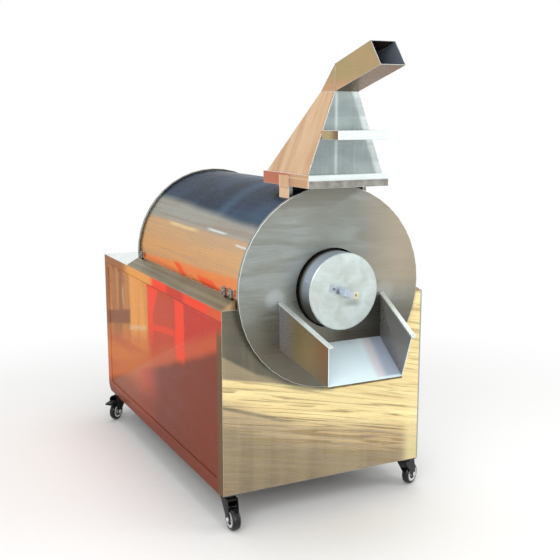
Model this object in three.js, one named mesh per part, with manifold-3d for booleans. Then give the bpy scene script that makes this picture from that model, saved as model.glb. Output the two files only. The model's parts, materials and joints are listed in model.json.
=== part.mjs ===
// Nut roasting machine: a turning drum in an insulated casing, on a wheeled cabinet.
// Millimetres, +Z up. The front, with the drum's mouth, faces -Y, and the drum's axis runs along Y.
// Pieces are placed from the front panel's outer face (y = 0), the middle of the width (x = 0)
// and the floor (z = 0). The whole group is then moved so that y = 0 is the middle of its length.
import * as THREE from "three";
import { ConvexGeometry } from "three/addons/geometries/ConvexGeometry.js";
import { mergeVertices } from "three/addons/utils/BufferGeometryUtils.js";
import Module from "manifold-3d";

const wasm = await Module();
wasm.setup();

// Fits and sheets shared by all pieces
const SEAT_GAP = 0.3;
const OVERRUN = 15;
const WELD_DISTANCE = 0.0001;
const SHEET = 2;
const ROUND_PARTS = 44;
const MIDDLE_ROUND_PARTS = 28;
const SMALL_ROUND_PARTS = 16;
const ARC_PARTS = 12;
const BOLT_PARTS = 8;
const HEX_PARTS = 6;
const CORNER_PARTS = 5;

// Drum, along Y from its mouth to the end of its shaft
const DRUM_RADIUS = 250;
const DRUM_WALL = 3;
const DRUM_LENGTH = 875;
const CONE_LENGTH = 78;
const NECK_BACK = 32;
const NECK_RADIUS = 127.5;
const SHAFT_RADIUS = 20;
const SHAFT_HOLE_RADIUS = 27;
const TRACK_HEIGHT = 5.5;
const TRACK_FRONT = -8;
const TRACK_WIDTH = 30;
const FLIGHT_HEIGHT = 42;
const FLIGHT_WALL = 4;
const FLIGHT_TURNS = 1.25;
const FLIGHT_STEPS = 40;
const FLIGHT_END_GAP = 25;
const CONE_BACK = NECK_BACK + CONE_LENGTH;
const DRUM_BACK = CONE_BACK + DRUM_LENGTH;
const TRACK_RADIUS = NECK_RADIUS + TRACK_HEIGHT;

// Casing and end discs round the drum
const HEATER_SPACE = 52;
const INSULATION = 38;
const REAR_SPACE = 37;
const DISC_OVERHANG = 8;
const DISC_SHEET = 3;
const DISC_RIM = 12;
const DISC_FRONT = -35;
const DISC_HOLE_FIT = 5;
const SPLIT_DROP = 16;
const CHAMBER_RADIUS = DRUM_RADIUS + HEATER_SPACE;
const CASING_INNER = CHAMBER_RADIUS + INSULATION;
const CASING_RADIUS = CASING_INNER + SHEET;
const DISC_RADIUS = CASING_RADIUS + DISC_OVERHANG;
const DISC_HOLE_RADIUS = TRACK_RADIUS + DISC_HOLE_FIT;
const REAR_DISC_BACK = DRUM_BACK + REAR_SPACE;
const DISC_INNER = DISC_FRONT + DISC_SHEET;
const REAR_DISC_FRONT = REAR_DISC_BACK - DISC_SHEET;

// Bearing beam, pulley and guard behind the rear disc
const BEAM_SETBACK = 28;
const BEAM_WIDTH = 60;
const BEAM_DEPTH = 40;
const PULLEY_SETBACK = 42;
const SHAFT_OVERHANG = 33;
const GUARD_SPACE = 105;
const GUARD_MARGIN = 35;
const REAR_MARGIN = 81;
const BEAM_FRONT = REAR_DISC_BACK + BEAM_SETBACK;
const BEAM_BACK = BEAM_FRONT + BEAM_WIDTH;
const BEAM_MIDDLE = (BEAM_FRONT + BEAM_BACK) / 2;
const BELT_PLANE = BEAM_BACK + PULLEY_SETBACK;
const SHAFT_END = BELT_PLANE + SHAFT_OVERHANG;
const GUARD_END = SHAFT_END + GUARD_SPACE;

// Cabinet round the casing
const FRAME_SIDE_GAP = 5;
const PANEL_HEIGHT = 645;
const WHEEL_RADIUS = 40;
const CASTER_HEAD = 40;
const AXIS_RISE = 51;
const BORDER_STEP = 3;
const BORDER_WIDTH = 50;
const CORNER_RADIUS = 45;
const ANGLE_LEG = 40;
const ANGLE_WALL = 4;
const FRAME_INNER = DISC_RADIUS + FRAME_SIDE_GAP;
const SIDE_INNER = FRAME_INNER + ANGLE_LEG;
const FIELD_FACE = SIDE_INNER + SHEET;
const HALF_WIDTH = FIELD_FACE + BORDER_STEP;
const CABINET_DEPTH = GUARD_END + REAR_MARGIN;
const CASTER_HEIGHT = WHEEL_RADIUS * 2 + CASTER_HEAD;
const PANEL_TOP = CASTER_HEIGHT + PANEL_HEIGHT;
const AXIS_HEIGHT = PANEL_TOP + AXIS_RISE;
const SPLIT_HEIGHT = AXIS_HEIGHT - SPLIT_DROP;

// Lugs that bolt the cover down along its split line
const LUG_LENGTH = 22;
const LUG_HEIGHT = 26;
const LUG_STANDOUT = 10;
const LUG_BOLT_RADIUS = 6;
const LUG_BOLT_HEAD = 5;
const LUG_PLACE_SHARES = [0.03, 0.085, 0.96];

// Lid
const LID_FIT = 0.5;
const LID_FACE = -116;
const LID_SHEET = 3;
const LID_SKIRT = 70;
const LID_BEVEL = 3;
const LID_BOLT_RADIUS = 5;
const LID_BOLT_STANDOUT = 4;
const LID_BOLT_ANGLES = [162, 282, 42];
const LID_BACK = LID_FACE + LID_SKIRT;
const LID_RADIUS = NECK_RADIUS + LID_FIT + LID_SHEET;

// Lid handle, a bent strap
const HANDLE_SPAN = 112;
const HANDLE_HEIGHT = 38;
const HANDLE_FOOT = 24;
const HANDLE_BEND = 10;
const HANDLE_STRAP = 4;
const HANDLE_STRAP_WIDTH = 24;
const HANDLE_TILT = 18.5;
const HANDLE_BOLT_RADIUS = 5;
const HANDLE_BOLT_HEAD = 4;

// Front rollers
const ROLLER_RADIUS = 28;
const ROLLER_WIDTH = 24;
const ROLLER_ANGLE = 35;
const ROLLER_PIN_RADIUS = 8;
const ROLLER_PIN_HEAD = 3;
const ROLLER_FIT = 0.4;
const ROLLER_PLATE = 6;
const ROLLER_PLATE_WIDTH = 70;
const ROLLER_PLATE_HEIGHT = 110;
const ROLLER_BOSS_RADIUS = 15;

// Chute, in drops below the drum's axis and reaches in front of the disc
const CHUTE_SHEET = 2.5;
const CHUTE_BACK_HALF = 200;
const CHUTE_FLOOR_DROP = 194;
const CHUTE_CHEEK_DROP = 39;
const CHUTE_LIP_REACH = 227;
const CHUTE_LIP_HALF = 141;
const CHUTE_LIP_DROP = 271;
const CHUTE_CORNER_REACH = 255;
const CHUTE_CORNER_HALF = 157;
const CHUTE_CORNER_DROP = 132;
const STAY_WIDTH = 16;
const STAY_THICK = 6;
const STAY_OVERHANG = 12;
const STAY_HOLE_RADIUS = 4;
const CHUTE_BACK_LOW = AXIS_HEIGHT - CHUTE_FLOOR_DROP;
const CHUTE_BACK_HIGH = AXIS_HEIGHT - CHUTE_CHEEK_DROP;
const CHUTE_LIP_Y = DISC_FRONT - CHUTE_LIP_REACH;
const CHUTE_LIP_LOW = AXIS_HEIGHT - CHUTE_LIP_DROP;
const CHUTE_CORNER_Y = DISC_FRONT - CHUTE_CORNER_REACH;
const CHUTE_CORNER_HIGH = AXIS_HEIGHT - CHUTE_CORNER_DROP;

// Hood, its collar and legs
const HOOD_REACH = 83;
const COLLAR_CLEARANCE = 7;
const HOOD_HEIGHT = 263;
const HOOD_HALF = 140;
const HOOD_LENGTH = 298;
const DUCT_HALF = 44;
const DUCT_LENGTH = 94;
const COLLAR_MARGIN = 10;
const COLLAR_LIP = 23;
const COLLAR_HEIGHT = 42;
const COLLAR_LEDGE = 16;
const LEG_SETBACK = 30;
const LEG_WIDTH = 72;
const LEG_WALL = 4;
const LEG_RETURN = 14;
const HOOD_FRONT = DISC_FRONT - HOOD_REACH;
const HOOD_BACK = HOOD_FRONT + HOOD_LENGTH;
const COLLAR_LOW = AXIS_HEIGHT + CASING_RADIUS + COLLAR_CLEARANCE;
const HOOD_BOTTOM = COLLAR_LOW + COLLAR_HEIGHT;
const NECK_TOP = HOOD_BOTTOM + HOOD_HEIGHT;
const DUCT_BACK = HOOD_FRONT + DUCT_LENGTH;
const COLLAR_HALF = HOOD_HALF + COLLAR_MARGIN;
const COLLAR_FRONT = HOOD_FRONT - COLLAR_LIP;
const COLLAR_BACK = HOOD_BACK + COLLAR_MARGIN;
const LEG_FRONT = DISC_FRONT + LEG_SETBACK;

// Duct above the hood: mitred at the elbow and open at its slanted mouth
const ELBOW_RUN = 92;
const ELBOW_RISE = 86;
const DUCT_RUN = 207;
const DUCT_RISE = 57;
const MOUTH_RUN = 58;
const MOUTH_DROP = 73;
const ELBOW_BACK = [DUCT_BACK - ELBOW_RUN, NECK_TOP + ELBOW_RISE];
const MOUTH_HIGH = [ELBOW_BACK[0] - DUCT_RUN, ELBOW_BACK[1] + DUCT_RISE];
const MOUTH_LOW = [MOUTH_HIGH[0] - MOUTH_RUN, MOUTH_HIGH[1] - MOUTH_DROP];
const FRONT_REACH = -MOUTH_LOW[0];

// Strap across the hood's front
const STRAP_HALF = 93;
const STRAP_REACH = 107;
const STRAP_RISE = 127;
const STRAP_HEIGHT = 29;
const STRAP_THICK = 4;
const STRAP_MIDDLE = HOOD_BOTTOM + STRAP_RISE;

// Rear bearing on its beam
const BEARING_RADIUS = 38;
const BEARING_LENGTH = 44;
const BEARING_BASE_HALF = 66;
const BEARING_BASE_THICK = 15;
const BEARING_BASE_LENGTH = 38;
const BEARING_BOLT_RADIUS = 9;
const BEARING_BOLT_HEAD = 8;
const SHAFT_FIT = 0.4;

// Belt drive
const BELT_WIDTH = 16;
const BELT_THICK = 9;
const BELT_FIT = 0.8;
const DRUM_PULLEY_RADIUS = 130;
const MOTOR_PULLEY_RADIUS = 48;
const PULLEY_WIDTH = 30;
const PULLEY_HUB_RADIUS = 36;
const PULLEY_HUB_LENGTH = 44;
const PULLEY_WEB = 8;
const PULLEY_RIM = 14;
const MOTOR_SHAFT_RADIUS = 14;
const MOTOR_SHAFT_DEPTH = 40;

// Gearmotor on its tray
const TRAY_OVERHANG = 10;
const TRAY_DEPTH = 160;
const TRAY_LIP = 26;
const GEARBOX_SETBACK = 26;
const GEARBOX_LENGTH = 76;
const GEARBOX_HALF = 62;
const GEARBOX_HEIGHT = 160;
const GEARBOX_CENTRE_SHARE = 0.55;
const GEARBOX_FLANGE = 10;
const MOTOR_RADIUS = 52;
const MOTOR_LENGTH = 190;
const MOTOR_SPIGOT = 4;
const MOTOR_FIN_DEPTH = 6;
const MOTOR_FINS = 4;
const MOTOR_FINNED_SHARE = 0.6;
const GEARBOX_BACK = BELT_PLANE - GEARBOX_SETBACK;
const GEARBOX_FRONT = GEARBOX_BACK - GEARBOX_LENGTH;
const TRAY_FRONT = GEARBOX_FRONT - TRAY_OVERHANG;
const MOTOR_AXIS = CASTER_HEIGHT + ANGLE_WALL + GEARBOX_HEIGHT * GEARBOX_CENTRE_SHARE;
const BELT_SPAN = AXIS_HEIGHT - MOTOR_AXIS;
const GUARD_HALF = DRUM_PULLEY_RADIUS + GUARD_MARGIN;

// Heating tubes under the drum
const HEATER_RADIUS = 8;
const HEATER_DRUM_GAP = 18;
const HEATER_SETBACK = 10;
const HEATER_LOOP = 40;
const HEATER_ANGLES = [10, 24, 38, 52];
const HEATER_ORBIT = DRUM_RADIUS + HEATER_DRUM_GAP + HEATER_RADIUS;
const HEATER_FRONT = CONE_BACK + HEATER_SETBACK;

// Control box in the right side panel
const CONTROL_LENGTH = 210;
const CONTROL_HEIGHT = 210;
const CONTROL_DEPTH = 110;
const CONTROL_SIDE_MARGIN = 31;
const CONTROL_TOP_MARGIN = 15;
const DOOR_LAP = 9;
const DOOR_THICK = 3;
const HINGE_RADIUS = 4;
const HINGE_LENGTH = 40;
const HINGE_PLACE_SHARES = [0.18, 0.82];
const SWITCH_BODY = 28;
const SWITCH_DEPTH = 34;
const KNOB_RADIUS = 17;
const KNOB_HEIGHT = 16;
const KNOB_RIDGE = 6;
const KNOB_PLACE_SHARES = [0.28, 0.36];
const BUTTON_RADIUS = 11;
const BUTTON_COLLAR_RADIUS = 15;
const BUTTON_COLLAR_HEIGHT = 4;
const BUTTON_HEIGHT = 11;
const BUTTON_TRAVEL = 4;
const BUTTON_FIT = 0.6;
const START_PLACE_SHARES = [0.6, 0.36];
const STOP_PLACE_SHARES = [0.8, 0.36];
const DISPLAY_WIDTH = 96;
const DISPLAY_HEIGHT = 48;
const DISPLAY_STANDOUT = 5;
const DISPLAY_PLACE_SHARES = [0.5, 0.74];
const CONTROL_BACK = CABINET_DEPTH - BORDER_WIDTH - CONTROL_SIDE_MARGIN;
const CONTROL_FRONT = CONTROL_BACK - CONTROL_LENGTH;
const CONTROL_HIGH = PANEL_TOP - BORDER_WIDTH - CONTROL_TOP_MARGIN;
const CONTROL_LOW = CONTROL_HIGH - CONTROL_HEIGHT;

// Casters
const CASTER_INSET = 35;
const CASTER_FRONT_Y = 32;
const CASTER_CORNER_GAP = 7;
const CASTER_PLATE = 62;
const CASTER_PLATE_THICK = 4;
const CASTER_TRAIL = 42;
const WHEEL_WIDTH = 30;
const TYRE_THICK = 11;
const TYRE_ROUND = 4;
const HUB_FACE_STEP = 3;
const AXLE_RADIUS = 5;
const AXLE_FIT = 0.3;
const FORK_WALL = 3;
const FORK_SIDE_GAP = 2;
const FORK_HEAD_RADIUS = 27;
const FORK_EYE_RADIUS = 12;
const FORK_BRIDGE = 8;
const FORK_TOP_GAP = 6;
const FORK_LEG_SHARE = 0.8;
const FORK_EYE_LOW_ANGLE = -130;
const FORK_EYE_HIGH_ANGLE = 22;
const PEDAL_LENGTH = 46;
const PEDAL_THICK = 6;
const PEDAL_PIVOT_REACH = 30;
const PEDAL_TYRE_GAP = 12;
const PEDAL_PIN_RADIUS = 4;
const PEDAL_DROP = 8;
const FRONT_LEFT_YAW = 270;
const FRONT_RIGHT_YAW = 25.7;
const REAR_LEFT_YAW = 218;
const REAR_RIGHT_YAW = 322;
const CASTER_X = HALF_WIDTH - CASTER_INSET;
const CASTER_REAR_Y = CABINET_DEPTH - CORNER_RADIUS - CASTER_CORNER_GAP - ANGLE_LEG / 2;

// Finishes
const STAINLESS = { color: 0xb9b6ac, roughness: 0.28, metalness: 1 };
const BRUSHED = { color: 0xa3a49e, roughness: 0.38, metalness: 1 };
const MILD_STEEL = { color: 0x6f7276, roughness: 0.55, metalness: 0.9 };
const PAINTED_DARK = { color: 0x2b3a44, roughness: 0.5, metalness: 0.2 };
const BLACK_PART = { color: 0x1c1c1e, roughness: 0.45, metalness: 0.1 };
const RUBBER = { color: 0x17171a, roughness: 0.6, metalness: 0 };
const LIGHT_GREY = { color: 0xc9cbc9, roughness: 0.4, metalness: 0.1 };
const WOOL = { color: 0xd8d2b8, roughness: 0.95, metalness: 0 };
const RED_PLASTIC = { color: 0xb3261e, roughness: 0.4, metalness: 0 };
const GREEN_PLASTIC = { color: 0x1f8a45, roughness: 0.4, metalness: 0 };

// Geometry to solid and back
function toSolid(geometry) {
  const bare = geometry.index ? geometry.toNonIndexed() : geometry.clone();
  bare.deleteAttribute("normal");
  bare.deleteAttribute("uv");
  const merged = mergeVertices(bare, WELD_DISTANCE);
  const index = merged.index.array;
  const kept = [];
  for (let i = 0; i < index.length; i += 3) {
    const [a, b, c] = [index[i], index[i + 1], index[i + 2]];
    if (a !== b && b !== c && c !== a) kept.push(a, b, c);
  }
  const vertProperties = new Float32Array(merged.attributes.position.array);
  const triVerts = new Uint32Array(kept);
  return new wasm.Manifold(new wasm.Mesh({ numProp: 3, vertProperties, triVerts }));
}

function toGeometry(solid) {
  const mesh = solid.getMesh();
  const places = new Float32Array(mesh.numVert * 3);
  for (let i = 0; i < mesh.numVert; i++) {
    places.set(mesh.vertProperties.subarray(i * mesh.numProp, i * mesh.numProp + 3), i * 3);
  }
  const geometry = new THREE.BufferGeometry();
  geometry.setAttribute("position", new THREE.BufferAttribute(places, 3));
  geometry.setIndex(new THREE.BufferAttribute(new Uint32Array(mesh.triVerts), 1));
  const flat = geometry.toNonIndexed();
  flat.computeVertexNormals();
  return flat;
}

function join(first, ...others) {
  return others.reduce((made, other) => made.add(other), first);
}

function cut(body, ...tools) {
  return tools.reduce((made, tool) => made.subtract(tool), body);
}

// A box between two corners.
function block([x0, x1], [y0, y1], [z0, z1]) {
  const geometry = new THREE.BoxGeometry(x1 - x0, y1 - y0, z1 - z0);
  geometry.translate((x0 + x1) / 2, (y0 + y1) / 2, (z0 + z1) / 2);
  return toSolid(geometry);
}

// A round bar from one point to another, with its own radius at the far end if it tapers.
function rod(radius, from, to, parts = SMALL_ROUND_PARTS, farRadius = radius) {
  const start = new THREE.Vector3(...from);
  const end = new THREE.Vector3(...to);
  const along = end.clone().sub(start);
  const geometry = new THREE.CylinderGeometry(farRadius, radius, along.length(), parts);
  const turn = new THREE.Quaternion().setFromUnitVectors(
    new THREE.Vector3(0, 1, 0),
    along.clone().normalize(),
  );
  geometry.applyQuaternion(turn);
  geometry.translate(...start.add(end).multiplyScalar(0.5).toArray());
  return toSolid(geometry);
}

// The directions of a flat outline's two axes and of its thickness, for each axis it can run along.
const PLANES = {
  x: [[0, 1, 0], [0, 0, 1], [1, 0, 0]],
  y: [[1, 0, 0], [0, 0, 1], [0, -1, 0]],
  z: [[1, 0, 0], [0, 1, 0], [0, 0, 1]],
};

// A flat outline given thickness along an axis: (y, z) along x, (x, z) along y, (x, y) along z.
function prism(shape, axis, from, to, parts = CORNER_PARTS) {
  const depth = to - from;
  const options = { depth, bevelEnabled: false, curveSegments: parts };
  const geometry = new THREE.ExtrudeGeometry(shape, options);
  const [across, up, along] = PLANES[axis].map((v) => new THREE.Vector3(...v));
  geometry.applyMatrix4(new THREE.Matrix4().makeBasis(across, up, along));
  if (axis === "x") geometry.translate(from, 0, 0);
  if (axis === "y") geometry.translate(0, to, 0);
  if (axis === "z") geometry.translate(0, 0, from);
  return toSolid(geometry);
}

function outline(points) {
  return new THREE.Shape(points.map(([u, v]) => new THREE.Vector2(u, v)));
}

// A profile of [radius, place along Y] turned about Y, closed on itself or by the axis.
function turned(profile, parts = ROUND_PARTS) {
  const points = profile.map(([r, y]) => new THREE.Vector2(r, y));
  const ordered = THREE.ShapeUtils.area(points) > 0 ? points : points.reverse();
  const closed = ordered[0].x === 0 && ordered.at(-1).x === 0;
  if (!closed) ordered.push(ordered[0].clone());
  return toSolid(new THREE.LatheGeometry(ordered, parts));
}

// The same, about the drum's axis.
function turnedOnAxis(profile, parts = ROUND_PARTS) {
  return turned(profile, parts).translate([0, 0, AXIS_HEIGHT]);
}

function ring(outer, inner, front, back, parts = ROUND_PARTS) {
  const profile = [[inner, front], [outer, front], [outer, back], [inner, back]];
  return turnedOnAxis(profile, parts);
}

// A full cylinder about the drum's axis.
function plug(radius, front, back, parts = ROUND_PARTS) {
  return turnedOnAxis([[0, front], [radius, front], [radius, back], [0, back]], parts);
}

function hull(points) {
  return toSolid(new ConvexGeometry(points.map((p) => new THREE.Vector3(...p))));
}

// A solid drawn in a local frame, turned about Z and set down at a place.
function setDown(solid, yaw, place) {
  return solid.rotate([0, 0, yaw]).translate(place);
}

const machine = new THREE.Group();

function add(name, solid, finish) {
  const material = new THREE.MeshStandardMaterial(finish);
  const mesh = new THREE.Mesh(toGeometry(solid), material);
  mesh.name = name;
  machine.add(mesh);
}

function mirrored(side, near, far) {
  return side > 0 ? [near, far] : [-far, -near];
}

// Cabinet
function sideOutline(inset) {
  const shape = new THREE.Shape();
  const back = CABINET_DEPTH - inset;
  const low = CASTER_HEIGHT + inset;
  const top = PANEL_TOP - inset;
  const round = Math.max(CORNER_RADIUS - inset, SEAT_GAP);
  shape.moveTo(inset, low);
  shape.lineTo(back - round, low);
  shape.absarc(back - round, low + round, round, -Math.PI / 2, 0, false);
  shape.lineTo(back, top);
  shape.lineTo(inset, top);
  return shape;
}

function sidePanel(side) {
  const plate = prism(sideOutline(0), "x", ...mirrored(side, SIDE_INNER, HALF_WIDTH));
  const recess = mirrored(side, FIELD_FACE, HALF_WIDTH + OVERRUN);
  return cut(plate, prism(sideOutline(BORDER_WIDTH), "x", ...recess));
}

// An angle-iron frame that follows the side panel: a flat leg with two windows, and a flange.
function sideFrame(side) {
  const inset = SHEET + SEAT_GAP;
  const back = CABINET_DEPTH - inset - ANGLE_LEG;
  const low = CASTER_HEIGHT + inset + ANGLE_LEG;
  const high = PANEL_TOP - inset - ANGLE_LEG;
  const beyond = mirrored(side, SIDE_INNER - ANGLE_WALL - OVERRUN, SIDE_INNER + OVERRUN);
  const windows = [
    block(beyond, [inset + ANGLE_LEG, REAR_DISC_BACK - ANGLE_LEG], [low, high]),
    block(beyond, [REAR_DISC_BACK, back], [low, high]),
  ];
  const shape = sideOutline(inset);
  const leg = prism(shape, "x", ...mirrored(side, SIDE_INNER - ANGLE_WALL, SIDE_INNER));
  const rim = prism(shape, "x", ...mirrored(side, FRAME_INNER, SIDE_INNER));
  const inside = mirrored(side, FRAME_INNER - OVERRUN, SIDE_INNER - ANGLE_WALL);
  return cut(join(leg, rim), prism(sideOutline(inset + ANGLE_WALL), "x", ...inside), ...windows);
}

function crossMember(front, back, lip, plates) {
  const span = [-FRAME_INNER, FRAME_INNER];
  const low = CASTER_HEIGHT;
  const web = block(span, [front, back], [low, low + ANGLE_WALL]);
  const stand = block(span, [front, front + ANGLE_WALL], [low, low + lip]);
  return join(web, stand, ...plates);
}

function casterPlates(y) {
  const half = CASTER_PLATE / 2;
  const reach = [CASTER_HEIGHT - CASTER_PLATE_THICK, CASTER_HEIGHT];
  return [-CASTER_X, CASTER_X].map((x) =>
    block([x - half, x + half], [y - half, y + half], reach),
  );
}

function frontPanel() {
  const notch = rod(
    CASING_RADIUS + SEAT_GAP,
    [0, -OVERRUN, AXIS_HEIGHT],
    [0, SHEET + OVERRUN, AXIS_HEIGHT],
    ROUND_PARTS,
  );
  const sheet = block([-SIDE_INNER, SIDE_INNER], [0, SHEET], [CASTER_HEIGHT, PANEL_TOP]);
  return cut(sheet, notch);
}

// The rear panel is one sheet whose lower edge is bent forward round the corner.
function rearPanel() {
  const corner = [CABINET_DEPTH - CORNER_RADIUS, CASTER_HEIGHT + CORNER_RADIUS];
  const shape = new THREE.Shape();
  shape.moveTo(CABINET_DEPTH, PANEL_TOP);
  shape.lineTo(CABINET_DEPTH - SHEET, PANEL_TOP);
  shape.lineTo(CABINET_DEPTH - SHEET, corner[1]);
  shape.absarc(...corner, CORNER_RADIUS - SHEET, 0, -Math.PI / 2, true);
  shape.absarc(...corner, CORNER_RADIUS, -Math.PI / 2, 0, false);
  return prism(shape, "x", -SIDE_INNER, SIDE_INNER);
}

function ledge(side) {
  const inner = Math.sqrt(CASING_RADIUS ** 2 - (AXIS_HEIGHT - SPLIT_HEIGHT) ** 2) + SEAT_GAP;
  const points = [
    [SIDE_INNER, PANEL_TOP],
    [HALF_WIDTH, PANEL_TOP],
    [HALF_WIDTH, PANEL_TOP + SHEET],
    [inner, SPLIT_HEIGHT],
    [inner, SPLIT_HEIGHT - SHEET],
  ].map(([x, z]) => [side * x, z]);
  const strip = prism(outline(side > 0 ? points : points.reverse()), "y", 0, REAR_DISC_BACK);
  const fold = rod(
    DISC_RADIUS + SEAT_GAP,
    [0, REAR_DISC_FRONT - DISC_RIM - SEAT_GAP, AXIS_HEIGHT],
    [0, REAR_DISC_BACK + OVERRUN, AXIS_HEIGHT],
    ROUND_PARTS,
  );
  return cut(strip, fold);
}

// The sheet over the drive compartment, with an arched guard over the pulley and bearing.
function driveCover() {
  const front = REAR_DISC_BACK + SEAT_GAP;
  const top = PANEL_TOP + SHEET;
  const sheet = block([-HALF_WIDTH, HALF_WIDTH], [front, CABINET_DEPTH], [PANEL_TOP, top]);
  const arch = (half, low) => {
    const shape = new THREE.Shape();
    shape.moveTo(-half, low);
    shape.lineTo(half, low);
    shape.absarc(0, AXIS_HEIGHT, half, 0, Math.PI, false);
    return shape;
  };
  const outer = prism(arch(GUARD_HALF, PANEL_TOP), "y", front, GUARD_END, ARC_PARTS);
  const hollow = arch(GUARD_HALF - SHEET, PANEL_TOP - OVERRUN);
  const inner = prism(hollow, "y", front - OVERRUN, GUARD_END - SHEET, ARC_PARTS);
  return cut(join(sheet, outer), inner);
}

// Casing
function casingTube() {
  return ring(CASING_RADIUS, CASING_INNER, DISC_INNER, REAR_DISC_FRONT);
}

function aboveSplit(gap) {
  const wide = CASING_RADIUS + OVERRUN;
  const length = [DISC_FRONT - OVERRUN, REAR_DISC_BACK + OVERRUN];
  const low = SPLIT_HEIGHT - gap;
  return block([-wide, wide], length, [low, AXIS_HEIGHT + wide]);
}

function coverLug(side, y) {
  const low = SPLIT_HEIGHT + SHEET;
  const near = CASING_RADIUS - SHEET;
  const reach = mirrored(side, near, CASING_RADIUS + LUG_STANDOUT);
  const pad = block(reach, [y - LUG_LENGTH / 2, y + LUG_LENGTH / 2], [low, low + LUG_HEIGHT]);
  const tip = CASING_RADIUS + LUG_STANDOUT;
  const middle = low + LUG_HEIGHT / 2;
  const bolt = rod(
    LUG_BOLT_RADIUS,
    [side * near, y, middle],
    [side * (tip + LUG_BOLT_HEAD), y, middle],
    HEX_PARTS,
  );
  return join(pad, bolt);
}

function drumCover() {
  const shell = casingTube().intersect(aboveSplit(0));
  const inside = plug(CASING_INNER, DISC_INNER, REAR_DISC_FRONT);
  const lugs = LUG_PLACE_SHARES.flatMap((share) => {
    const y = share * REAR_DISC_FRONT;
    return [coverLug(-1, y), coverLug(1, y)];
  });
  return join(shell, ...lugs.map((lug) => cut(lug, inside)));
}

// A disc whose edge is folded over the casing.
function endDisc(face, inner, rimEnd, holeRadius) {
  const fold = DISC_RADIUS - DISC_SHEET;
  return turnedOnAxis([
    [holeRadius, face],
    [DISC_RADIUS, face],
    [DISC_RADIUS, rimEnd],
    [fold, rimEnd],
    [fold, inner],
    [holeRadius, inner],
  ]);
}

// Drum, open at its neck and carried at the rear by its shaft
function roastingDrum() {
  const front = LID_FACE + LID_SHEET + SEAT_GAP;
  const neckInner = NECK_RADIUS - DRUM_WALL;
  const trackBack = TRACK_FRONT + TRACK_WIDTH;
  return turnedOnAxis([
    [0, SHAFT_END],
    [SHAFT_RADIUS, SHAFT_END],
    [SHAFT_RADIUS, DRUM_BACK],
    [DRUM_RADIUS, DRUM_BACK],
    [DRUM_RADIUS, CONE_BACK],
    [NECK_RADIUS, NECK_BACK],
    [NECK_RADIUS, trackBack],
    [TRACK_RADIUS, trackBack],
    [TRACK_RADIUS, TRACK_FRONT],
    [NECK_RADIUS, TRACK_FRONT],
    [NECK_RADIUS, front],
    [neckInner, front],
    [neckInner, NECK_BACK],
    [DRUM_RADIUS - DRUM_WALL, CONE_BACK + DRUM_WALL],
    [DRUM_RADIUS - DRUM_WALL, DRUM_BACK - DRUM_WALL],
    [0, DRUM_BACK - DRUM_WALL],
  ]);
}

// A helical blade along the drum's wall, which lifts the nuts and drives them out in reverse.
function flight(startAngle) {
  const flat = Math.cos(Math.PI / ROUND_PARTS);
  const outer = (DRUM_RADIUS - DRUM_WALL) * flat - SEAT_GAP;
  const inner = outer - FLIGHT_HEIGHT;
  const front = CONE_BACK + FLIGHT_END_GAP;
  const back = DRUM_BACK - DRUM_WALL - FLIGHT_END_GAP;
  const places = [];
  for (let i = 0; i <= FLIGHT_STEPS; i++) {
    const share = i / FLIGHT_STEPS;
    const angle = startAngle + share * FLIGHT_TURNS * 2 * Math.PI;
    const y = front + share * (back - front);
    const section = [
      [inner, y - FLIGHT_WALL / 2],
      [outer, y - FLIGHT_WALL / 2],
      [outer, y + FLIGHT_WALL / 2],
      [inner, y + FLIGHT_WALL / 2],
    ];
    section.forEach(([r, along]) => {
      places.push(r * Math.sin(angle), along, AXIS_HEIGHT + r * Math.cos(angle));
    });
  }
  const faces = [0, 1, 2, 0, 2, 3];
  for (let i = 0; i < FLIGHT_STEPS; i++) {
    for (let k = 0; k < 4; k++) {
      const [a, b] = [i * 4 + k, i * 4 + ((k + 1) % 4)];
      faces.push(a, a + 4, b, b, a + 4, b + 4);
    }
  }
  const end = FLIGHT_STEPS * 4;
  faces.push(end, end + 2, end + 1, end, end + 3, end + 2);
  const geometry = new THREE.BufferGeometry();
  geometry.setAttribute("position", new THREE.Float32BufferAttribute(places, 3));
  geometry.setIndex(faces);
  return toSolid(geometry);
}

// Lid
function lid() {
  const inner = NECK_RADIUS + LID_FIT;
  const cap = turnedOnAxis([
    [0, LID_FACE],
    [LID_RADIUS - LID_BEVEL, LID_FACE],
    [LID_RADIUS, LID_FACE + LID_BEVEL],
    [LID_RADIUS, LID_BACK],
    [inner, LID_BACK],
    [inner, LID_FACE + LID_SHEET],
    [0, LID_FACE + LID_SHEET],
  ]);
  const middle = (LID_FACE + LID_BACK) / 2;
  const bolts = LID_BOLT_ANGLES.map((degrees) => {
    const angle = THREE.MathUtils.degToRad(degrees);
    const at = (r) => [r * Math.cos(angle), middle, AXIS_HEIGHT + r * Math.sin(angle)];
    const near = (inner + LID_RADIUS) / 2;
    return rod(LID_BOLT_RADIUS, at(near), at(LID_RADIUS + LID_BOLT_STANDOUT), BOLT_PARTS);
  });
  return join(cap, ...bolts);
}

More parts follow.
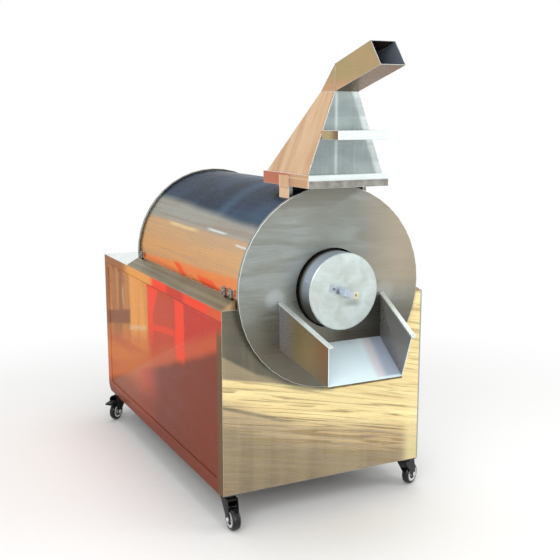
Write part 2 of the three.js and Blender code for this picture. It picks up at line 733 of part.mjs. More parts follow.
// A strap bent like a bridge: two feet on the lid and a raised grip between them.
function lidHandle() {
  const half = HANDLE_SPAN / 2;
  const gripHalf = half - HANDLE_FOOT - HANDLE_BEND;
  const seat = LID_FACE - SEAT_GAP;
  const outerLine = [
    [-half, seat - HANDLE_STRAP],
    [-gripHalf - HANDLE_BEND, seat - HANDLE_STRAP],
    [-gripHalf, LID_FACE - HANDLE_HEIGHT],
    [gripHalf, LID_FACE - HANDLE_HEIGHT],
    [gripHalf + HANDLE_BEND, seat - HANDLE_STRAP],
    [half, seat - HANDLE_STRAP],
  ];
  const innerLine = [
    [half, seat],
    [gripHalf + HANDLE_BEND - HANDLE_STRAP, seat],
    [gripHalf - HANDLE_STRAP, LID_FACE - HANDLE_HEIGHT + HANDLE_STRAP],
    [HANDLE_STRAP - gripHalf, LID_FACE - HANDLE_HEIGHT + HANDLE_STRAP],
    [HANDLE_STRAP - gripHalf - HANDLE_BEND, seat],
    [-half, seat],
  ];
  const strapHalf = HANDLE_STRAP_WIDTH / 2;
  const strap = prism(outline([...outerLine, ...innerLine]), "z", -strapHalf, strapHalf);
  const footMiddle = half - HANDLE_FOOT / 2;
  const bolts = [-footMiddle, footMiddle].map((x) =>
    rod(
      HANDLE_BOLT_RADIUS,
      [x, seat - HANDLE_STRAP / 2, 0],
      [x, seat - HANDLE_STRAP - HANDLE_BOLT_HEAD, 0],
      HEX_PARTS,
    ),
  );
  return join(strap, ...bolts).rotate([0, HANDLE_TILT, 0]).translate([0, 0, AXIS_HEIGHT]);
}

// Front rollers, which the drum's track runs on
function rollerPlace(side) {
  const angle = THREE.MathUtils.degToRad(ROLLER_ANGLE);
  const reach = TRACK_RADIUS + ROLLER_RADIUS + ROLLER_FIT;
  return [side * reach * Math.sin(angle), AXIS_HEIGHT - reach * Math.cos(angle)];
}

const ROLLER_FRONT = TRACK_FRONT + (TRACK_WIDTH - ROLLER_WIDTH) / 2;
const ROLLER_BACK = ROLLER_FRONT + ROLLER_WIDTH;

function frontRoller(side) {
  const [x, z] = rollerPlace(side);
  const bore = ROLLER_PIN_RADIUS + ROLLER_FIT;
  const profile = [
    [bore, ROLLER_FRONT],
    [ROLLER_RADIUS, ROLLER_FRONT],
    [ROLLER_RADIUS, ROLLER_BACK],
    [bore, ROLLER_BACK],
  ];
  return turned(profile, SMALL_ROUND_PARTS).translate([x, 0, z]);
}

function rollerBracket(side) {
  const [x, z] = rollerPlace(side);
  const seat = DISC_INNER + SEAT_GAP;
  const half = ROLLER_PLATE_WIDTH / 2;
  const drop = z - ROLLER_PLATE_HEIGHT + half;
  const plate = block([x - half, x + half], [seat, seat + ROLLER_PLATE], [drop, z + half]);
  const face = ROLLER_FRONT - SEAT_GAP;
  const boss = rod(ROLLER_BOSS_RADIUS, [x, seat, z], [x, face, z]);
  const tip = ROLLER_BACK + SEAT_GAP;
  const pin = rod(ROLLER_PIN_RADIUS, [x, seat, z], [x, tip + ROLLER_PIN_HEAD, z]);
  const head = rod(ROLLER_BOSS_RADIUS, [x, tip, z], [x, tip + ROLLER_PIN_HEAD, z]);
  const track = plug(TRACK_RADIUS + ROLLER_FIT, seat - OVERRUN, NECK_BACK);
  return cut(join(plate, boss, pin, head), track);
}

// Chute: a tray that narrows towards its lip, between two cheeks
function chute() {
  const back = DISC_FRONT - SEAT_GAP;
  const floorCorners = (lift) => [
    [-CHUTE_BACK_HALF, back, CHUTE_BACK_LOW + lift],
    [CHUTE_BACK_HALF, back, CHUTE_BACK_LOW + lift],
    [-CHUTE_LIP_HALF, CHUTE_LIP_Y, CHUTE_LIP_LOW + lift],
    [CHUTE_LIP_HALF, CHUTE_LIP_Y, CHUTE_LIP_LOW + lift],
  ];
  const floor = hull([...floorCorners(0), ...floorCorners(CHUTE_SHEET)]);
  const cheek = (side) => {
    const corners = (inset) => [
      [side * (CHUTE_BACK_HALF - inset), back, CHUTE_BACK_LOW],
      [side * (CHUTE_BACK_HALF - inset), back, CHUTE_BACK_HIGH],
      [side * (CHUTE_CORNER_HALF - inset), CHUTE_CORNER_Y, CHUTE_CORNER_HIGH],
      [side * (CHUTE_LIP_HALF - inset), CHUTE_LIP_Y, CHUTE_LIP_LOW],
    ];
    return hull([...corners(0), ...corners(CHUTE_SHEET)]);
  };
  return join(floor, cheek(-1), cheek(1));
}

// A flat bar from the disc down along a cheek's upper edge, with a hole in its free end.
function chuteStay(side) {
  const top = new THREE.Vector3(side * CHUTE_BACK_HALF, DISC_FRONT, CHUTE_BACK_HIGH);
  const tip = new THREE.Vector3(side * CHUTE_CORNER_HALF, CHUTE_CORNER_Y, CHUTE_CORNER_HIGH);
  const along = tip.clone().sub(top).normalize();
  const across = new THREE.Vector3(0, 0, 1).cross(along).normalize();
  const up = along.clone().cross(across);
  const length = tip.distanceTo(top) + STAY_OVERHANG;
  const half = STAY_WIDTH / 2;
  const bar = block([0, length], [-half, half], [0, STAY_THICK]);
  const hole = rod(
    STAY_HOLE_RADIUS,
    [length - half, 0, -OVERRUN],
    [length - half, 0, STAY_THICK + OVERRUN],
    BOLT_PARTS,
  );
  const frame = new THREE.Matrix4().makeBasis(along, across, up).setPosition(
    top.addScaledVector(up, CHUTE_SHEET),
  );
  const behind = block(
    [-HALF_WIDTH, HALF_WIDTH],
    [DISC_FRONT - SEAT_GAP, CABINET_DEPTH],
    [CASTER_HEIGHT, HOOD_BOTTOM],
  );
  return cut(cut(bar, hole).transform(frame.elements), behind);
}

// Fume hood
function frustum(lowHalf, lowSpan, low, highHalf, highSpan, high) {
  const corners = (half, span, z) =>
    span.flatMap((y) => [[-half, y, z], [half, y, z]]);
  return hull([...corners(lowHalf, lowSpan, low), ...corners(highHalf, highSpan, high)]);
}

function hood() {
  const height = NECK_TOP - HOOD_BOTTOM;
  const outer = frustum(
    HOOD_HALF, [HOOD_FRONT, HOOD_BACK], HOOD_BOTTOM,
    DUCT_HALF, [HOOD_FRONT, DUCT_BACK], NECK_TOP,
  );
  const sideRun = (HOOD_HALF - DUCT_HALF) * (OVERRUN / height);
  const backRun = (HOOD_BACK - DUCT_BACK) * (OVERRUN / height);
  const inner = frustum(
    HOOD_HALF - SHEET + sideRun,
    [HOOD_FRONT + SHEET, HOOD_BACK - SHEET + backRun],
    HOOD_BOTTOM - OVERRUN,
    DUCT_HALF - SHEET - sideRun,
    [HOOD_FRONT + SHEET, DUCT_BACK - SHEET - backRun],
    NECK_TOP + OVERRUN,
  );
  return cut(outer, inner);
}

// A line of points moved sideways by a distance, with mitred corners and longer ends.
function movedLine(points, distance, longer) {
  const at = points.map(([u, v]) => new THREE.Vector2(u, v));
  const sides = at.slice(1).map((p, i) => p.clone().sub(at[i]).normalize());
  const normal = (d) => new THREE.Vector2(d.y, -d.x).multiplyScalar(distance);
  return at.map((p, i) => {
    if (i === 0) {
      return p.clone().add(normal(sides[0])).addScaledVector(sides[0], -longer);
    }
    if (i === at.length - 1) {
      return p.clone().add(normal(sides.at(-1))).addScaledVector(sides.at(-1), longer);
    }
    const middle = sides[i - 1].clone().add(sides[i]).normalize();
    const stretch = 1 / middle.dot(sides[i]);
    return p.clone().addScaledVector(normal(middle), stretch);
  });
}

function exhaustDuct() {
  const upper = [[DUCT_BACK, NECK_TOP], ELBOW_BACK, MOUTH_HIGH];
  const lower = [MOUTH_LOW, [HOOD_FRONT, NECK_TOP]];
  const shell = prism(outline([...upper, ...lower]), "x", -DUCT_HALF, DUCT_HALF);
  const inner = [...movedLine(upper, -SHEET, OVERRUN), ...movedLine(lower, -SHEET, OVERRUN)];
  const hollow = prism(new THREE.Shape(inner), "x", SHEET - DUCT_HALF, DUCT_HALF - SHEET);
  return cut(shell, hollow);
}

function hoodCollar() {
  const wide = [-COLLAR_HALF, COLLAR_HALF];
  const box = block(wide, [COLLAR_FRONT, COLLAR_BACK], [COLLAR_LOW, HOOD_BOTTOM]);
  const inside = block(
    [SHEET - COLLAR_HALF, COLLAR_HALF - SHEET],
    [COLLAR_FRONT + SHEET, COLLAR_BACK - SHEET],
    [COLLAR_LOW - OVERRUN, HOOD_BOTTOM - SHEET],
  );
  const through = block(
    [COLLAR_LEDGE - COLLAR_HALF, COLLAR_HALF - COLLAR_LEDGE],
    [HOOD_FRONT + SHEET * 2, COLLAR_BACK - COLLAR_LEDGE],
    [COLLAR_LOW - OVERRUN, HOOD_BOTTOM + OVERRUN],
  );
  const casing = rod(
    CASING_RADIUS + SEAT_GAP,
    [0, DISC_FRONT - OVERRUN, AXIS_HEIGHT],
    [0, REAR_DISC_BACK, AXIS_HEIGHT],
    ROUND_PARTS,
  );
  const legs = [-1, 1].map((side) => {
    const wall = mirrored(side, COLLAR_HALF - LEG_WALL, COLLAR_HALF);
    const height = [AXIS_HEIGHT, COLLAR_LOW + COLLAR_HEIGHT / 2];
    const plate = block(wall, [LEG_FRONT, LEG_FRONT + LEG_WIDTH], height);
    const turnedIn = mirrored(side, COLLAR_HALF - LEG_RETURN, COLLAR_HALF);
    const lip = block(turnedIn, [LEG_FRONT, LEG_FRONT + LEG_WALL], height);
    return cut(join(plate, lip), casing);
  });
  return join(cut(box, inside, through), ...legs);
}

function hoodStrap() {
  const height = [STRAP_MIDDLE - STRAP_HEIGHT / 2, STRAP_MIDDLE + STRAP_HEIGHT / 2];
  const seat = HOOD_FRONT - SEAT_GAP;
  const face = HOOD_FRONT - STRAP_REACH;
  const outer = block([-STRAP_HALF, STRAP_HALF], [face, seat], height);
  const inner = block(
    [STRAP_THICK - STRAP_HALF, STRAP_HALF - STRAP_THICK],
    [face + STRAP_THICK, seat + OVERRUN],
    [height[0] - OVERRUN, height[1] + OVERRUN],
  );
  return cut(outer, inner);
}

// Rear bearing
function bearingBeam() {
  const span = [-FRAME_INNER, FRAME_INNER];
  const low = PANEL_TOP - BEAM_DEPTH;
  const body = block(span, [BEAM_FRONT, BEAM_BACK], [low, PANEL_TOP]);
  const hollow = block(
    [-FRAME_INNER - OVERRUN, FRAME_INNER + OVERRUN],
    [BEAM_FRONT + ANGLE_WALL, BEAM_BACK - ANGLE_WALL],
    [low - OVERRUN, PANEL_TOP - ANGLE_WALL],
  );
  return cut(body, hollow);
}

function rearBearing() {
  const half = BEARING_BASE_LENGTH / 2;
  const base = block(
    [-BEARING_BASE_HALF, BEARING_BASE_HALF],
    [BEAM_MIDDLE - half, BEAM_MIDDLE + half],
    [PANEL_TOP, PANEL_TOP + BEARING_BASE_THICK],
  );
  const reach = BEARING_LENGTH / 2;
  const ends = [BEAM_MIDDLE - reach, BEAM_MIDDLE + reach];
  const housing = rod(BEARING_RADIUS, [0, ends[0], AXIS_HEIGHT], [0, ends[1], AXIS_HEIGHT]);
  const neck = block(
    [-BEARING_RADIUS, BEARING_RADIUS],
    [BEAM_MIDDLE - half, BEAM_MIDDLE + half],
    [PANEL_TOP, AXIS_HEIGHT],
  );
  const bore = rod(
    SHAFT_RADIUS + SHAFT_FIT,
    [0, ends[0] - OVERRUN, AXIS_HEIGHT],
    [0, ends[1] + OVERRUN, AXIS_HEIGHT],
    ROUND_PARTS,
  );
  const boltX = (BEARING_RADIUS + BEARING_BASE_HALF) / 2;
  const head = PANEL_TOP + BEARING_BASE_THICK;
  const bolts = [-boltX, boltX].map((x) =>
    rod(
      BEARING_BOLT_RADIUS,
      [x, BEAM_MIDDLE, head - SHEET],
      [x, BEAM_MIDDLE, head + BEARING_BOLT_HEAD],
      HEX_PARTS,
    ),
  );
  return cut(join(base, housing, neck, ...bolts), bore);
}

// Belt drive
function grooved(radius, boreProfile) {
  const groove = BELT_WIDTH / 2 + BELT_FIT;
  const floor = radius - BELT_THICK;
  const half = PULLEY_WIDTH / 2;
  return [
    [radius, BELT_PLANE - half],
    [radius, BELT_PLANE - groove],
    [floor, BELT_PLANE - groove],
    [floor, BELT_PLANE + groove],
    [radius, BELT_PLANE + groove],
    [radius, BELT_PLANE + half],
    ...boreProfile,
  ];
}

function drumPulley() {
  const rimInner = DRUM_PULLEY_RADIUS - BELT_THICK - PULLEY_RIM;
  const [half, web, hub] = [PULLEY_WIDTH / 2, PULLEY_WEB / 2, PULLEY_HUB_LENGTH / 2];
  const bore = SHAFT_RADIUS + SEAT_GAP;
  const profile = grooved(DRUM_PULLEY_RADIUS, [
    [rimInner, BELT_PLANE + half],
    [rimInner, BELT_PLANE + web],
    [PULLEY_HUB_RADIUS, BELT_PLANE + web],
    [PULLEY_HUB_RADIUS, BELT_PLANE + hub],
    [bore, BELT_PLANE + hub],
    [bore, BELT_PLANE - hub],
    [PULLEY_HUB_RADIUS, BELT_PLANE - hub],
    [PULLEY_HUB_RADIUS, BELT_PLANE - web],
    [rimInner, BELT_PLANE - web],
    [rimInner, BELT_PLANE - half],
  ]);
  return turnedOnAxis(profile, MIDDLE_ROUND_PARTS);
}

function motorPulley() {
  const half = PULLEY_WIDTH / 2;
  const shaftFront = GEARBOX_BACK - MOTOR_SHAFT_DEPTH + SEAT_GAP;
  const profile = grooved(MOTOR_PULLEY_RADIUS, [
    [0, BELT_PLANE + half],
    [0, shaftFront],
    [MOTOR_SHAFT_RADIUS, shaftFront],
    [MOTOR_SHAFT_RADIUS, BELT_PLANE - half],
  ]);
  const start = profile.findIndex(([r]) => r === 0);
  const fromAxis = [...profile.slice(start + 1), ...profile.slice(0, start + 1)];
  return turned(fromAxis, MIDDLE_ROUND_PARTS).translate([0, 0, MOTOR_AXIS]);
}

function beltLoop(lift) {
  const large = DRUM_PULLEY_RADIUS - BELT_THICK + lift;
  const small = MOTOR_PULLEY_RADIUS - BELT_THICK + lift;
  const lean = Math.asin((large - small) / BELT_SPAN);
  const shape = new THREE.Shape();
  shape.absarc(0, AXIS_HEIGHT, large, -lean, Math.PI + lean, false);
  shape.absarc(0, MOTOR_AXIS, small, Math.PI + lean, 2 * Math.PI - lean, false);
  return shape;
}

function driveBelt() {
  const half = BELT_WIDTH / 2;
  const [front, back] = [BELT_PLANE - half, BELT_PLANE + half];
  const outer = prism(beltLoop(BELT_THICK), "y", front, back, ARC_PARTS);
  const inner = prism(beltLoop(BELT_FIT), "y", front - OVERRUN, back + OVERRUN, ARC_PARTS);
  return cut(outer, inner);
}

// Worm gearbox with its motor across the compartment
function gearmotor() {
  const seat = CASTER_HEIGHT + ANGLE_WALL;
  const top = seat + GEARBOX_HEIGHT;
  const depth = [GEARBOX_FRONT, GEARBOX_BACK];
  const body = block([-GEARBOX_HALF, GEARBOX_HALF], depth, [seat, top]);
  const foot = GEARBOX_HALF + GEARBOX_FLANGE * 2;
  const feet = block([-foot, foot], depth, [seat, seat + GEARBOX_FLANGE]);
  const core = MOTOR_RADIUS - MOTOR_FIN_DEPTH;
  const profile = [
    [0, -MOTOR_SPIGOT],
    [MOTOR_RADIUS, -MOTOR_SPIGOT],
    [MOTOR_RADIUS, GEARBOX_FLANGE],
    [core, GEARBOX_FLANGE],
  ];
  const pitch = (MOTOR_LENGTH * MOTOR_FINNED_SHARE) / MOTOR_FINS;
  for (let i = 0; i < MOTOR_FINS; i++) {
    const start = GEARBOX_FLANGE + pitch * (i + 0.5);
    profile.push([core, start], [MOTOR_RADIUS, start]);
    profile.push([MOTOR_RADIUS, start + pitch / 2], [core, start + pitch / 2]);
  }
  const cowl = GEARBOX_FLANGE + pitch * (MOTOR_FINS + 0.5);
  profile.push([core, cowl], [MOTOR_RADIUS, cowl], [MOTOR_RADIUS, MOTOR_LENGTH], [0, MOTOR_LENGTH]);
  const middle = (GEARBOX_FRONT + GEARBOX_BACK) / 2;
  const motorHeight = top - MOTOR_RADIUS;
  const motor = turned(profile, SMALL_ROUND_PARTS)
    .rotate([0, 0, -90])
    .translate([GEARBOX_HALF, middle, motorHeight]);
  const bore = rod(
    MOTOR_SHAFT_RADIUS + SHAFT_FIT,
    [0, GEARBOX_BACK - MOTOR_SHAFT_DEPTH, MOTOR_AXIS],
    [0, GEARBOX_BACK + OVERRUN, MOTOR_AXIS],
  );
  return cut(join(body, feet, motor), bore);
}

// Heating tubes: one tube on each side, bent to and fro under the drum
function heater(side) {
  const back = REAR_DISC_FRONT - SEAT_GAP;
  const turnBack = back - HEATER_LOOP;
  const at = (degrees, y) => {
    const angle = THREE.MathUtils.degToRad(degrees);
    return [side * HEATER_ORBIT * Math.sin(angle), y, AXIS_HEIGHT - HEATER_ORBIT * Math.cos(angle)];
  };
  const last = HEATER_ANGLES.length - 1;
  const route = HEATER_ANGLES.flatMap((degrees, i) => {
    const outward = i % 2 === 0;
    const near = i === 0 || i === last ? back : turnBack;
    return outward
      ? [at(degrees, near), at(degrees, HEATER_FRONT)]
      : [at(degrees, HEATER_FRONT), at(degrees, near)];
  });
  const pieces = route.slice(1).map((p, i) => rod(HEATER_RADIUS, route[i], p, BOLT_PARTS));
  const knuckles = route.slice(1, -1).map(([x, y, z]) =>
    toSolid(new THREE.SphereGeometry(HEATER_RADIUS, BOLT_PARTS, BOLT_PARTS / 2).translate(x, y, z)),
  );
  return join(...pieces, ...knuckles);
}

// Control box in the right side panel, with its door
const DOOR_FRONT = CONTROL_FRONT - DOOR_LAP;
const DOOR_BACK = CONTROL_BACK + DOOR_LAP;
const DOOR_LOW = CONTROL_LOW - DOOR_LAP;
const DOOR_HIGH = CONTROL_HIGH + DOOR_LAP;
const DOOR_INNER = FIELD_FACE + SEAT_GAP;
const DOOR_FACE = DOOR_INNER + DOOR_THICK;

function onDoor([alongShare, upShare]) {
  return [
    DOOR_FRONT + alongShare * (DOOR_BACK - DOOR_FRONT),
    DOOR_LOW + upShare * (DOOR_HIGH - DOOR_LOW),
  ];
}

function controlBox() {
  const inner = SIDE_INNER - CONTROL_DEPTH;
  const outer = block(
    [inner, SIDE_INNER],
    [CONTROL_FRONT, CONTROL_BACK],
    [CONTROL_LOW, CONTROL_HIGH],
  );
  const hollow = block(
    [inner + SHEET, SIDE_INNER + OVERRUN],
    [CONTROL_FRONT + SHEET, CONTROL_BACK - SHEET],
    [CONTROL_LOW + SHEET, CONTROL_HIGH - SHEET],
  );
  return cut(outer, hollow);
}

function controlOpening() {
  return block(
    [SIDE_INNER - OVERRUN, HALF_WIDTH + OVERRUN],
    [CONTROL_FRONT + SHEET, CONTROL_BACK - SHEET],
    [CONTROL_LOW + SHEET, CONTROL_HIGH - SHEET],
  );
}

function controlDoor() {
  const plate = block([DOOR_INNER, DOOR_FACE], [DOOR_FRONT, DOOR_BACK], [DOOR_LOW, DOOR_HIGH]);
  const knuckles = HINGE_PLACE_SHARES.map((share) => {
    const middle = DOOR_LOW + share * (DOOR_HIGH - DOOR_LOW);
    const x = DOOR_INNER + HINGE_RADIUS;
    const low = [x, DOOR_BACK + HINGE_RADIUS / 2, middle - HINGE_LENGTH / 2];
    const high = [x, DOOR_BACK + HINGE_RADIUS / 2, middle + HINGE_LENGTH / 2];
    return rod(HINGE_RADIUS, low, high, BOLT_PARTS);
  });
  const bodies = [KNOB_PLACE_SHARES, START_PLACE_SHARES, STOP_PLACE_SHARES].map((shares) => {
    const [y, z] = onDoor(shares);
    const half = SWITCH_BODY / 2;
    const reach = [DOOR_INNER - SWITCH_DEPTH, DOOR_INNER + DOOR_THICK / 2];
    return block(reach, [y - half, y + half], [z - half, z + half]);
  });
  const collars = [START_PLACE_SHARES, STOP_PLACE_SHARES].map((shares) => {
    const [y, z] = onDoor(shares);
    const from = [DOOR_FACE - DOOR_THICK / 2, y, z];
    return rod(BUTTON_COLLAR_RADIUS, from, [DOOR_FACE + BUTTON_COLLAR_HEIGHT, y, z]);
  });
  const wells = [START_PLACE_SHARES, STOP_PLACE_SHARES].map((shares) => {
    const [y, z] = onDoor(shares);
    const floor = DOOR_FACE - BUTTON_TRAVEL - BUTTON_FIT;
    return rod(BUTTON_RADIUS + BUTTON_FIT, [floor, y, z], [DOOR_FACE + OVERRUN, y, z]);
  });
  const [displayY, displayZ] = onDoor(DISPLAY_PLACE_SHARES);
  const display = block(
    [DOOR_FACE - DOOR_THICK / 2, DOOR_FACE + DISPLAY_STANDOUT],
    [displayY - DISPLAY_WIDTH / 2, displayY + DISPLAY_WIDTH / 2],
    [displayZ - DISPLAY_HEIGHT / 2, displayZ + DISPLAY_HEIGHT / 2],
  );
  return cut(join(plate, ...knuckles, ...bodies, ...collars, display), ...wells);
}

function selectorKnob() {
  const [y, z] = onDoor(KNOB_PLACE_SHARES);
  const seat = DOOR_FACE + SEAT_GAP;
  const skirt = rod(KNOB_RADIUS, [seat, y, z], [seat + KNOB_HEIGHT / 2, y, z]);
  const ridgeHalf = KNOB_RIDGE / 2;
  const ridge = block(
    [seat, seat + KNOB_HEIGHT],
    [y - ridgeHalf, y + ridgeHalf],
    [z - KNOB_RADIUS + ridgeHalf / 2, z + KNOB_RADIUS - ridgeHalf / 2],
  );
  return join(skirt, ridge);
}

function button(shares) {
  const [y, z] = onDoor(shares);
  return rod(BUTTON_RADIUS, [DOOR_FACE, y, z], [DOOR_FACE + BUTTON_HEIGHT, y, z]);
}

// Casters, drawn with the swivel axis at the origin and the wheel trailing along +X
const FORK_HALF = WHEEL_WIDTH / 2 + FORK_SIDE_GAP + FORK_WALL;
const FORK_TOP = CASTER_HEIGHT - CASTER_PLATE_THICK - SEAT_GAP;
const BRIDGE_LOW = FORK_TOP - FORK_TOP_GAP - FORK_BRIDGE;

function casterFork(braked) {
  const legShape = new THREE.Shape();
  const reach = FORK_HEAD_RADIUS * FORK_LEG_SHARE;
  const eyeLow = THREE.MathUtils.degToRad(FORK_EYE_LOW_ANGLE);
  const eyeHigh = THREE.MathUtils.degToRad(FORK_EYE_HIGH_ANGLE);
  legShape.moveTo(-reach, BRIDGE_LOW + FORK_BRIDGE);
  legShape.lineTo(-reach, BRIDGE_LOW);
  legShape.absarc(CASTER_TRAIL, WHEEL_RADIUS, FORK_EYE_RADIUS, eyeLow, eyeHigh, false);
  legShape.lineTo(CASTER_TRAIL + (braked ? reach : 0), BRIDGE_LOW);
  legShape.lineTo(CASTER_TRAIL + (braked ? reach / 2 : 0), BRIDGE_LOW + FORK_BRIDGE);
  const legs = [-1, 1].map((side) => {
    const inner = WHEEL_WIDTH / 2 + FORK_SIDE_GAP;
    return prism(legShape, "y", ...mirrored(side, inner, FORK_HALF));
  });
  const bridge = block(
    [-reach, CASTER_TRAIL - SHEET],
    [-FORK_HALF, FORK_HALF],
    [BRIDGE_LOW, BRIDGE_LOW + FORK_BRIDGE],
  );
  const head = rod(FORK_HEAD_RADIUS, [0, 0, BRIDGE_LOW + FORK_BRIDGE / 2], [0, 0, FORK_TOP]);
  const axle = rod(
    AXLE_RADIUS,
    [CASTER_TRAIL, -FORK_HALF - SHEET, WHEEL_RADIUS],
    [CASTER_TRAIL, FORK_HALF + SHEET, WHEEL_RADIUS],
    BOLT_PARTS,
  );
  return join(...legs, bridge, head, axle);
}

function onAxle(profile) {
  return turned(profile, SMALL_ROUND_PARTS).translate([CASTER_TRAIL, 0, WHEEL_RADIUS]);
}

const HUB_RADIUS = WHEEL_RADIUS - TYRE_THICK;

function casterTyre() {
  const half = WHEEL_WIDTH / 2;
  const inner = HUB_RADIUS + SEAT_GAP;
  return onAxle([
    [inner, -half],
    [WHEEL_RADIUS - TYRE_ROUND, -half],
    [WHEEL_RADIUS, TYRE_ROUND - half],
    [WHEEL_RADIUS, half - TYRE_ROUND],
    [WHEEL_RADIUS - TYRE_ROUND, half],
    [inner, half],
  ]);
}

function casterHub() {
  const half = WHEEL_WIDTH / 2;
  const web = half - HUB_FACE_STEP;
  const rim = HUB_RADIUS - HUB_FACE_STEP * 2;
  const bore = AXLE_RADIUS + AXLE_FIT;
  return onAxle([
    [bore, -web],
    [rim, -web],
    [rim, -half],
    [HUB_RADIUS, -half],
    [HUB_RADIUS, half],
    [rim, half],
    [rim, web],
    [bore, web],
  ]);
}

// A toe pedal over the tyre, pivoted between the fork's legs.
function brakePedal() {
  const pivotHeight = WHEEL_RADIUS * 2 + PEDAL_TYRE_GAP;
  const pivot = [CASTER_TRAIL + PEDAL_PIVOT_REACH - FORK_HEAD_RADIUS / 2, pivotHeight];
  const tip = [pivot[0] + PEDAL_LENGTH, pivot[1] - PEDAL_DROP];
  const half = WHEEL_WIDTH / 2;
  const pinHalf = WHEEL_WIDTH / 2 + FORK_SIDE_GAP - SEAT_GAP;
  const corners = [
    [pivot[0], pivot[1] - PEDAL_PIN_RADIUS],
    [tip[0], tip[1]],
    [tip[0] - PEDAL_PIN_RADIUS, tip[1] + PEDAL_THICK],
    [pivot[0], pivot[1] + PEDAL_PIN_RADIUS],
  ];
  const pad = prism(outline(corners), "y", -half, half);
  const pin = rod(
    PEDAL_PIN_RADIUS,
    [pivot[0], -pinHalf, pivot[1]],
    [pivot[0], pinHalf, pivot[1]],
    BOLT_PARTS,
  );
  return join(pad, pin);
}

const CASTERS = [
  ["front_left", -CASTER_X, CASTER_FRONT_Y, FRONT_LEFT_YAW],
  ["front_right", CASTER_X, CASTER_FRONT_Y, FRONT_RIGHT_YAW],
  ["rear_left", -CASTER_X, CASTER_REAR_Y, REAR_LEFT_YAW],
  ["rear_right", CASTER_X, CASTER_REAR_Y, REAR_RIGHT_YAW],
];

// Frame and cabinet
add("side_frame_left", sideFrame(-1), MILD_STEEL);
add("side_frame_right", sideFrame(1), MILD_STEEL);
const frontEdges = [SHEET, SHEET + ANGLE_LEG];
const frontPlates = casterPlates(CASTER_FRONT_Y);
add("cross_member_front", crossMember(...frontEdges, ANGLE_LEG, frontPlates), MILD_STEEL);
const rearEdges = [CASTER_REAR_Y - ANGLE_LEG / 2, CASTER_REAR_Y + ANGLE_LEG / 2];
const rearPlates = casterPlates(CASTER_REAR_Y);
add("cross_member_rear", crossMember(...rearEdges, ANGLE_LEG, rearPlates), MILD_STEEL);
const trayEdges = [TRAY_FRONT, TRAY_FRONT + TRAY_DEPTH];
add("cross_member_drive", crossMember(...trayEdges, TRAY_LIP, []), MILD_STEEL);
add("bearing_beam", bearingBeam(), MILD_STEEL);
add("front_panel", frontPanel(), STAINLESS);
add("rear_panel", rearPanel(), STAINLESS);
add("side_panel_left", sidePanel(-1), STAINLESS);
add("side_panel_right", cut(sidePanel(1), controlOpening()), STAINLESS);
add("ledge_left", ledge(-1), STAINLESS);
add("ledge_right", ledge(1), STAINLESS);
add("drive_cover", driveCover(), STAINLESS);

// Casing
add("drum_cover", drumCover(), STAINLESS);
add("lower_casing", cut(casingTube(), aboveSplit(SEAT_GAP)), STAINLESS);
const woolEnds = [DISC_INNER + SEAT_GAP, REAR_DISC_FRONT - SEAT_GAP];
add("insulation", ring(CASING_INNER - SEAT_GAP, CHAMBER_RADIUS, ...woolEnds), WOOL);
const frontRim = DISC_INNER + DISC_RIM;
add("front_end_disc", endDisc(DISC_FRONT, DISC_INNER, frontRim, DISC_HOLE_RADIUS), BRUSHED);
const rearRim = REAR_DISC_FRONT - DISC_RIM;
add("rear_end_disc", endDisc(REAR_DISC_BACK, REAR_DISC_FRONT, rearRim, SHAFT_HOLE_RADIUS), BRUSHED);
add("heater_left", heater(-1), MILD_STEEL);
add("heater_right", heater(1), MILD_STEEL);

// Drum and lid
add("roasting_drum", roastingDrum(), MILD_STEEL);
add("drum_flight_1", flight(0), MILD_STEEL);
add("drum_flight_2", flight(Math.PI), MILD_STEEL);
add("lid", lid(), BRUSHED);
add("lid_handle", lidHandle(), STAINLESS);
add("roller_bracket_left", rollerBracket(-1), MILD_STEEL);
add("roller_bracket_right", rollerBracket(1), MILD_STEEL);
add("front_roller_left", frontRoller(-1), BRUSHED);
add("front_roller_right", frontRoller(1), BRUSHED);

// Chute and hood
add("chute", chute(), STAINLESS);
add("chute_stay_left", chuteStay(-1), STAINLESS);
add("chute_stay_right", chuteStay(1), STAINLESS);
add("hood_collar", hoodCollar(), STAINLESS);
add("hood", hood(), STAINLESS);
add("exhaust_duct", exhaustDuct(), STAINLESS);
add("hood_strap", hoodStrap(), STAINLESS);

// Drive
add("rear_bearing", rearBearing(), PAINTED_DARK);
add("drum_pulley", drumPulley(), MILD_STEEL);
add("motor_pulley", motorPulley(), MILD_STEEL);
add("drive_belt", driveBelt(), RUBBER);
add("gearmotor", gearmotor(), PAINTED_DARK);

// Controls
add("control_box", controlBox(), STAINLESS);
add("control_door", controlDoor(), STAINLESS);
add("selector_knob", selectorKnob(), BLACK_PART);
add("start_button", button(START_PLACE_SHARES), GREEN_PLASTIC);
add("stop_button", button(STOP_PLACE_SHARES), RED_PLASTIC);

// Casters
CASTERS.forEach(([name, x, y, yaw]) => {
  const braked = name.startsWith("rear");
  add("caster_fork_" + name, setDown(casterFork(braked), yaw, [x, y, 0]), BLACK_PART);
  add("caster_hub_" + name, setDown(casterHub(), yaw, [x, y, 0]), LIGHT_GREY);
  add("caster_tyre_" + name, setDown(casterTyre(), yaw, [x, y, 0]), RUBBER);
  if (braked) add("brake_pedal_" + name, setDown(brakePedal(), yaw, [x, y, 0]), BLACK_PART);
});

machine.position.y = (FRONT_REACH - CABINET_DEPTH) / 2;

export default machine;
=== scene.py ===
"""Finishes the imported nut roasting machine: sheet steel, welds, fittings and a studio."""

import json
import math

import bmesh
import bpy
from bpy.props import FloatProperty, FloatVectorProperty, PointerProperty
from bpy.types import Operator, Panel, PropertyGroup
from mathutils import Matrix, Vector

